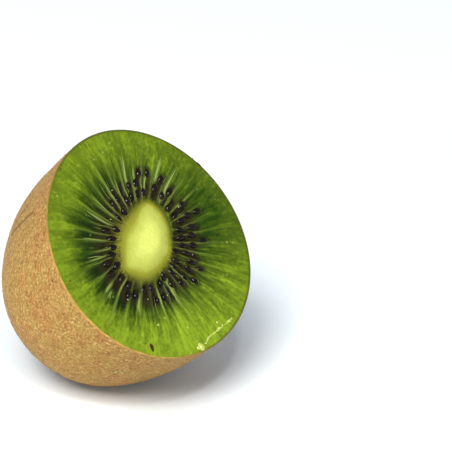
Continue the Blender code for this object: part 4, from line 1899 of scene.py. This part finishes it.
@dataclass
class StemScar(Piece):
    """The round woody scar at the fruit's end, with a raised, cracked rim and a hollow."""

    name: ClassVar[str] = "stem_scar"
    slot: ClassVar[Slot] = Slot.SKIN
    finish: ClassVar[Finish] = StalkFinish()

    radius: float = 2.7 * MM
    height: float = 1.3 * MM
    columns: int = 96
    rows: int = 46
    profile: Stops = (
        # shares of its radius and of its height, from its foot inside the fruit to the hollow in its top
        (1.75, -0.42), (1.50, -0.04), (1.30, 0.16), (1.12, 0.46), (0.96, 0.80), (0.76, 0.98), (0.60, 0.88),
        (0.42, 0.62), (0.12, 0.56),
    )
    crack_depth: float = 0.14
    crack_rise: float = 1.6
    crack_count: float = 5.0
    crack_slant: float = 0.6
    crack_start: tuple[float, float] = (0.0, 0.4)
    hollow_edge: tuple[float, float] = (0.75, 0.35)
    hollow_level: tuple[float, float] = (0.3, 0.5)
    rounding: int = 5
    grain: Grain = field(default_factory=lambda: Grain(61))

    def shape(self) -> Shape:
        """Turn the rounded profile about the fruit's axis, with cracks that run across its rim.

        Returns:
            The closed scar.
        """
        profile = np.array(self.profile)
        corner, place = np.arange(len(profile)), np.linspace(0.0, len(profile) - 1.0, self.rows)
        way, rise = (self._rounded(np.interp(place, corner, values)) for values in profile.T)
        turn, wide = ring_grid(self.columns, way)
        high = np.broadcast_to(rise[:, None], wide.shape)
        spot = np.stack([np.cos(turn), np.sin(turn), self.crack_slant * wide], axis=-1)
        crack = self.crack_depth * self.grain.layered(spot * self.crack_count, 1.0, 3)
        radius = self.radius * wide * (1.0 + crack)
        height = high + self.crack_rise * crack * soft_step(*self.crack_start, high)
        rings = np.stack([radius * np.cos(turn), -radius * np.sin(turn), self._level(height)], axis=-1)
        hollow = soft_step(*self.hollow_edge, wide) * soft_step(*self.hollow_level, high)
        foot, top = ((0.0, 0.0, self._level(share)) for share in profile[(0, -1), 1])
        return Shape.from_rings(rings, foot, top, hollow=hollow)

    def _rounded(self, values: Array) -> Array:
        """Values along the profile, each averaged with those beside it.

        Args:
            values: one value for each row.

        Returns:
            The averaged values.
        """
        window = np.hanning(self.rounding + 2)[1:-1]
        padded = np.pad(values, self.rounding // 2, mode="edge")
        return np.convolve(padded, window / window.sum(), mode="valid")

    def _level(self, share: Array) -> Array:
        """Z of a share of the scar's height, which runs down from the fruit's end."""
        return -self.form.length - self.height * share


@dataclass
class Crumbs(Piece):
    """Tiny flakes of skin that the knife left on the cut face, near the rim."""

    name: ClassVar[str] = "skin_crumbs"
    slot: ClassVar[Slot] = Slot.SKIN
    finish: ClassVar[Finish] = StalkFinish()

    flesh: Flesh
    columns: int = 12
    rows: int = 5
    flakes: tuple[tuple[float, float, float, float, float], ...] = (
        # angle and heading in degrees, share, half length and half width
        (235.8, 258.0, 0.884, 0.88 * MM, 0.46 * MM), (182.0, 190.0, 0.900, 0.20 * MM, 0.14 * MM),
        (232.5, 210.0, 0.850, 0.18 * MM, 0.12 * MM), (118.0, 30.0, 0.965, 0.22 * MM, 0.12 * MM),
        (26.7, 116.0, 0.992, 0.75 * MM, 0.22 * MM), (30.5, 122.0, 0.995, 0.40 * MM, 0.16 * MM),
    )
    thinness: float = 0.22
    uneven: float = 0.3
    uneven_cell: float = 0.4 * MM
    hollow: float = 1.3
    grain: Grain = field(default_factory=lambda: Grain(67))

    def shape(self) -> Shape:
        """Lay the flakes on the flesh. Each is a flattened ball with an uneven outline.

        Returns:
            All flakes as one shape.
        """
        degrees, heading, share, length, width = np.array(self.flakes).T
        middle = self.flesh.surface(np.radians(degrees), share)[:, None]
        pattern = Shape.ball(self.columns, self.rows)
        local = pattern.points * np.stack([length, width, width * self.thinness], axis=-1)[:, None]
        local = local * (1.0 + self.uneven * self.grain.at(local + middle * 3.0, self.uneven_cell))[..., None]
        points = headed(local, np.radians(heading)) + middle
        return Shape.copies(pattern, points, hollow=np.full(len(degrees), self.hollow))


@dataclass(frozen=True)
class Lamp:
    """A square area light that faces the fruit. Its azimuth and its elevation are in degrees."""

    name: str
    azimuth: float
    elevation: float
    away: float
    side: float
    watts: float
    colour: Colour


@dataclass
class Studio:
    """A white table, soft light from the upper left, and a camera at the picture's viewing angle."""

    form: FruitForm
    focal_pixels: float = 2200.0
    sensor: float = 36.0
    distance: float = 460.0 * MM
    azimuth: float = -45.8
    elevation: float = 25.0
    clip: tuple[float, float] = (0.01, 20.0)
    aim_pixel: tuple[float, float] = (150.5, 242.3)
    table_half: float = 3.0
    lamps: tuple[Lamp, ...] = (
        Lamp("key", -70.0, 52.0, 2.4, 1.1, 59.0, (1.0, 0.985, 0.95)),
        Lamp("glint", -38.0, 55.0, 1.2, 0.12, 2.6, (1.0, 1.0, 1.0)),
    )
    sky: Colour = (0.85, 0.94, 1.08)
    sky_strength: float = 0.37

    def build(self) -> bpy.types.Object:
        """Make the camera, the lights and the table, a flat top at the height that the fruit rests on.

        Returns:
            The table.
        """
        self._camera()
        for lamp in self.lamps:
            self._light(lamp)
        world = bpy.data.worlds.new("sky")
        bpy.context.scene.world = world
        world.use_nodes = True
        background = world.node_tree.nodes["Background"]
        background.inputs["Color"].default_value = (*self.sky, 1.0)
        background.inputs["Strength"].default_value = self.sky_strength
        bpy.context.scene.view_settings.view_transform = "Standard"
        half = self.table_half
        corners = np.array([(-half, -half, 0.0), (half, -half, 0.0), (half, half, 0.0), (-half, half, 0.0)])
        table = Shape(corners, [np.array([[0, 1, 2, 3]])])
        return table.to_object("table", TableFinish().material(), Shading.FLAT)

    def _stand(self, name: str, data: bpy.types.ID, towards: Vector, away: float) -> bpy.types.Object:
        """Put a camera or a light on a line from the fruit.

        Args:
            name: the object's name.
            data: the camera or the light.
            towards: unit vector from the fruit.
            away: distance along it.

        Returns:
            The linked object, not yet turned.
        """
        thing = bpy.data.objects.new(name, data)
        thing.location = Vector(self.form.place) + towards * away
        thing.rotation_mode = "QUATERNION"
        bpy.context.scene.collection.objects.link(thing)
        return thing

    def _direction(self, azimuth: float, elevation: float) -> Vector:
        """Unit vector from the fruit. Both angles are in degrees, and azimuth 0 is towards -Y."""
        side, rise = math.radians(azimuth), math.radians(elevation)
        return Vector((math.sin(side) * math.cos(rise), -math.cos(side) * math.cos(rise), math.sin(rise)))

    def _camera(self) -> None:
        """Place the camera, and turn it so that the middle of the cut face falls on its pixel."""
        data = bpy.data.cameras.new("camera")
        data.sensor_width = self.sensor
        data.lens = self.focal_pixels * self.sensor / PICTURE_SIDE
        data.clip_start, data.clip_end = self.clip
        towards = self._direction(self.azimuth, self.elevation)
        camera = self._stand("camera", data, towards, self.distance)
        across, down = (pixel - PICTURE_SIDE / 2.0 for pixel in self.aim_pixel)
        aside = Vector((across, -down, -self.focal_pixels)).rotation_difference(Vector((0.0, 0.0, -1.0)))
        camera.rotation_quaternion = (-towards).to_track_quat("-Z", "Y") @ aside
        bpy.context.scene.camera = camera

    def _light(self, lamp: Lamp) -> None:
        """Place one lamp.

        Args:
            lamp: its sizes, its light and where it stands.
        """
        data = bpy.data.lights.new(lamp.name, "AREA")
        data.size, data.energy, data.color = lamp.side, lamp.watts, lamp.colour
        towards = self._direction(lamp.azimuth, lamp.elevation)
        self._stand(lamp.name, data, towards, lamp.away).rotation_quaternion = towards.to_track_quat("Z", "Y")


def add_piece(piece: bpy.types.Object, slot: Slot, node: str) -> None:
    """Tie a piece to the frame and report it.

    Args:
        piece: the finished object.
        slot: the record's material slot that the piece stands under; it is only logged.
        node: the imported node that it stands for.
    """
    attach(piece, "root")
    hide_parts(node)
    triangles = sum(len(polygon.vertices) - 2 for polygon in piece.data.polygons)
    log.info("%s: %d triangles, slot %s", piece.name, triangles, slot.value)


def main() -> None:
    """Build the half's pieces and the studio."""
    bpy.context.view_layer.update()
    form = FruitForm()
    rule = SeedRule(form)
    places = rule.places()
    log.info("%d seeds", len(places))
    flesh, skin = Flesh(form, rule, places), Skin(form)
    pieces: tuple[Piece, ...] = (
        flesh, Core(form), skin, Fuzz(form, skin), Seeds(form, rule, places), Fibres(form, flesh),
        Juice(form, flesh), StemScar(form), Crumbs(form, flesh),
    )
    for piece in pieces:
        add_piece(piece.build(), piece.slot, form.node)
    Studio(form).build()


if __name__ == "__main__":
    logging.basicConfig(level=logging.INFO, format="%(name)s: %(message)s")
    main()
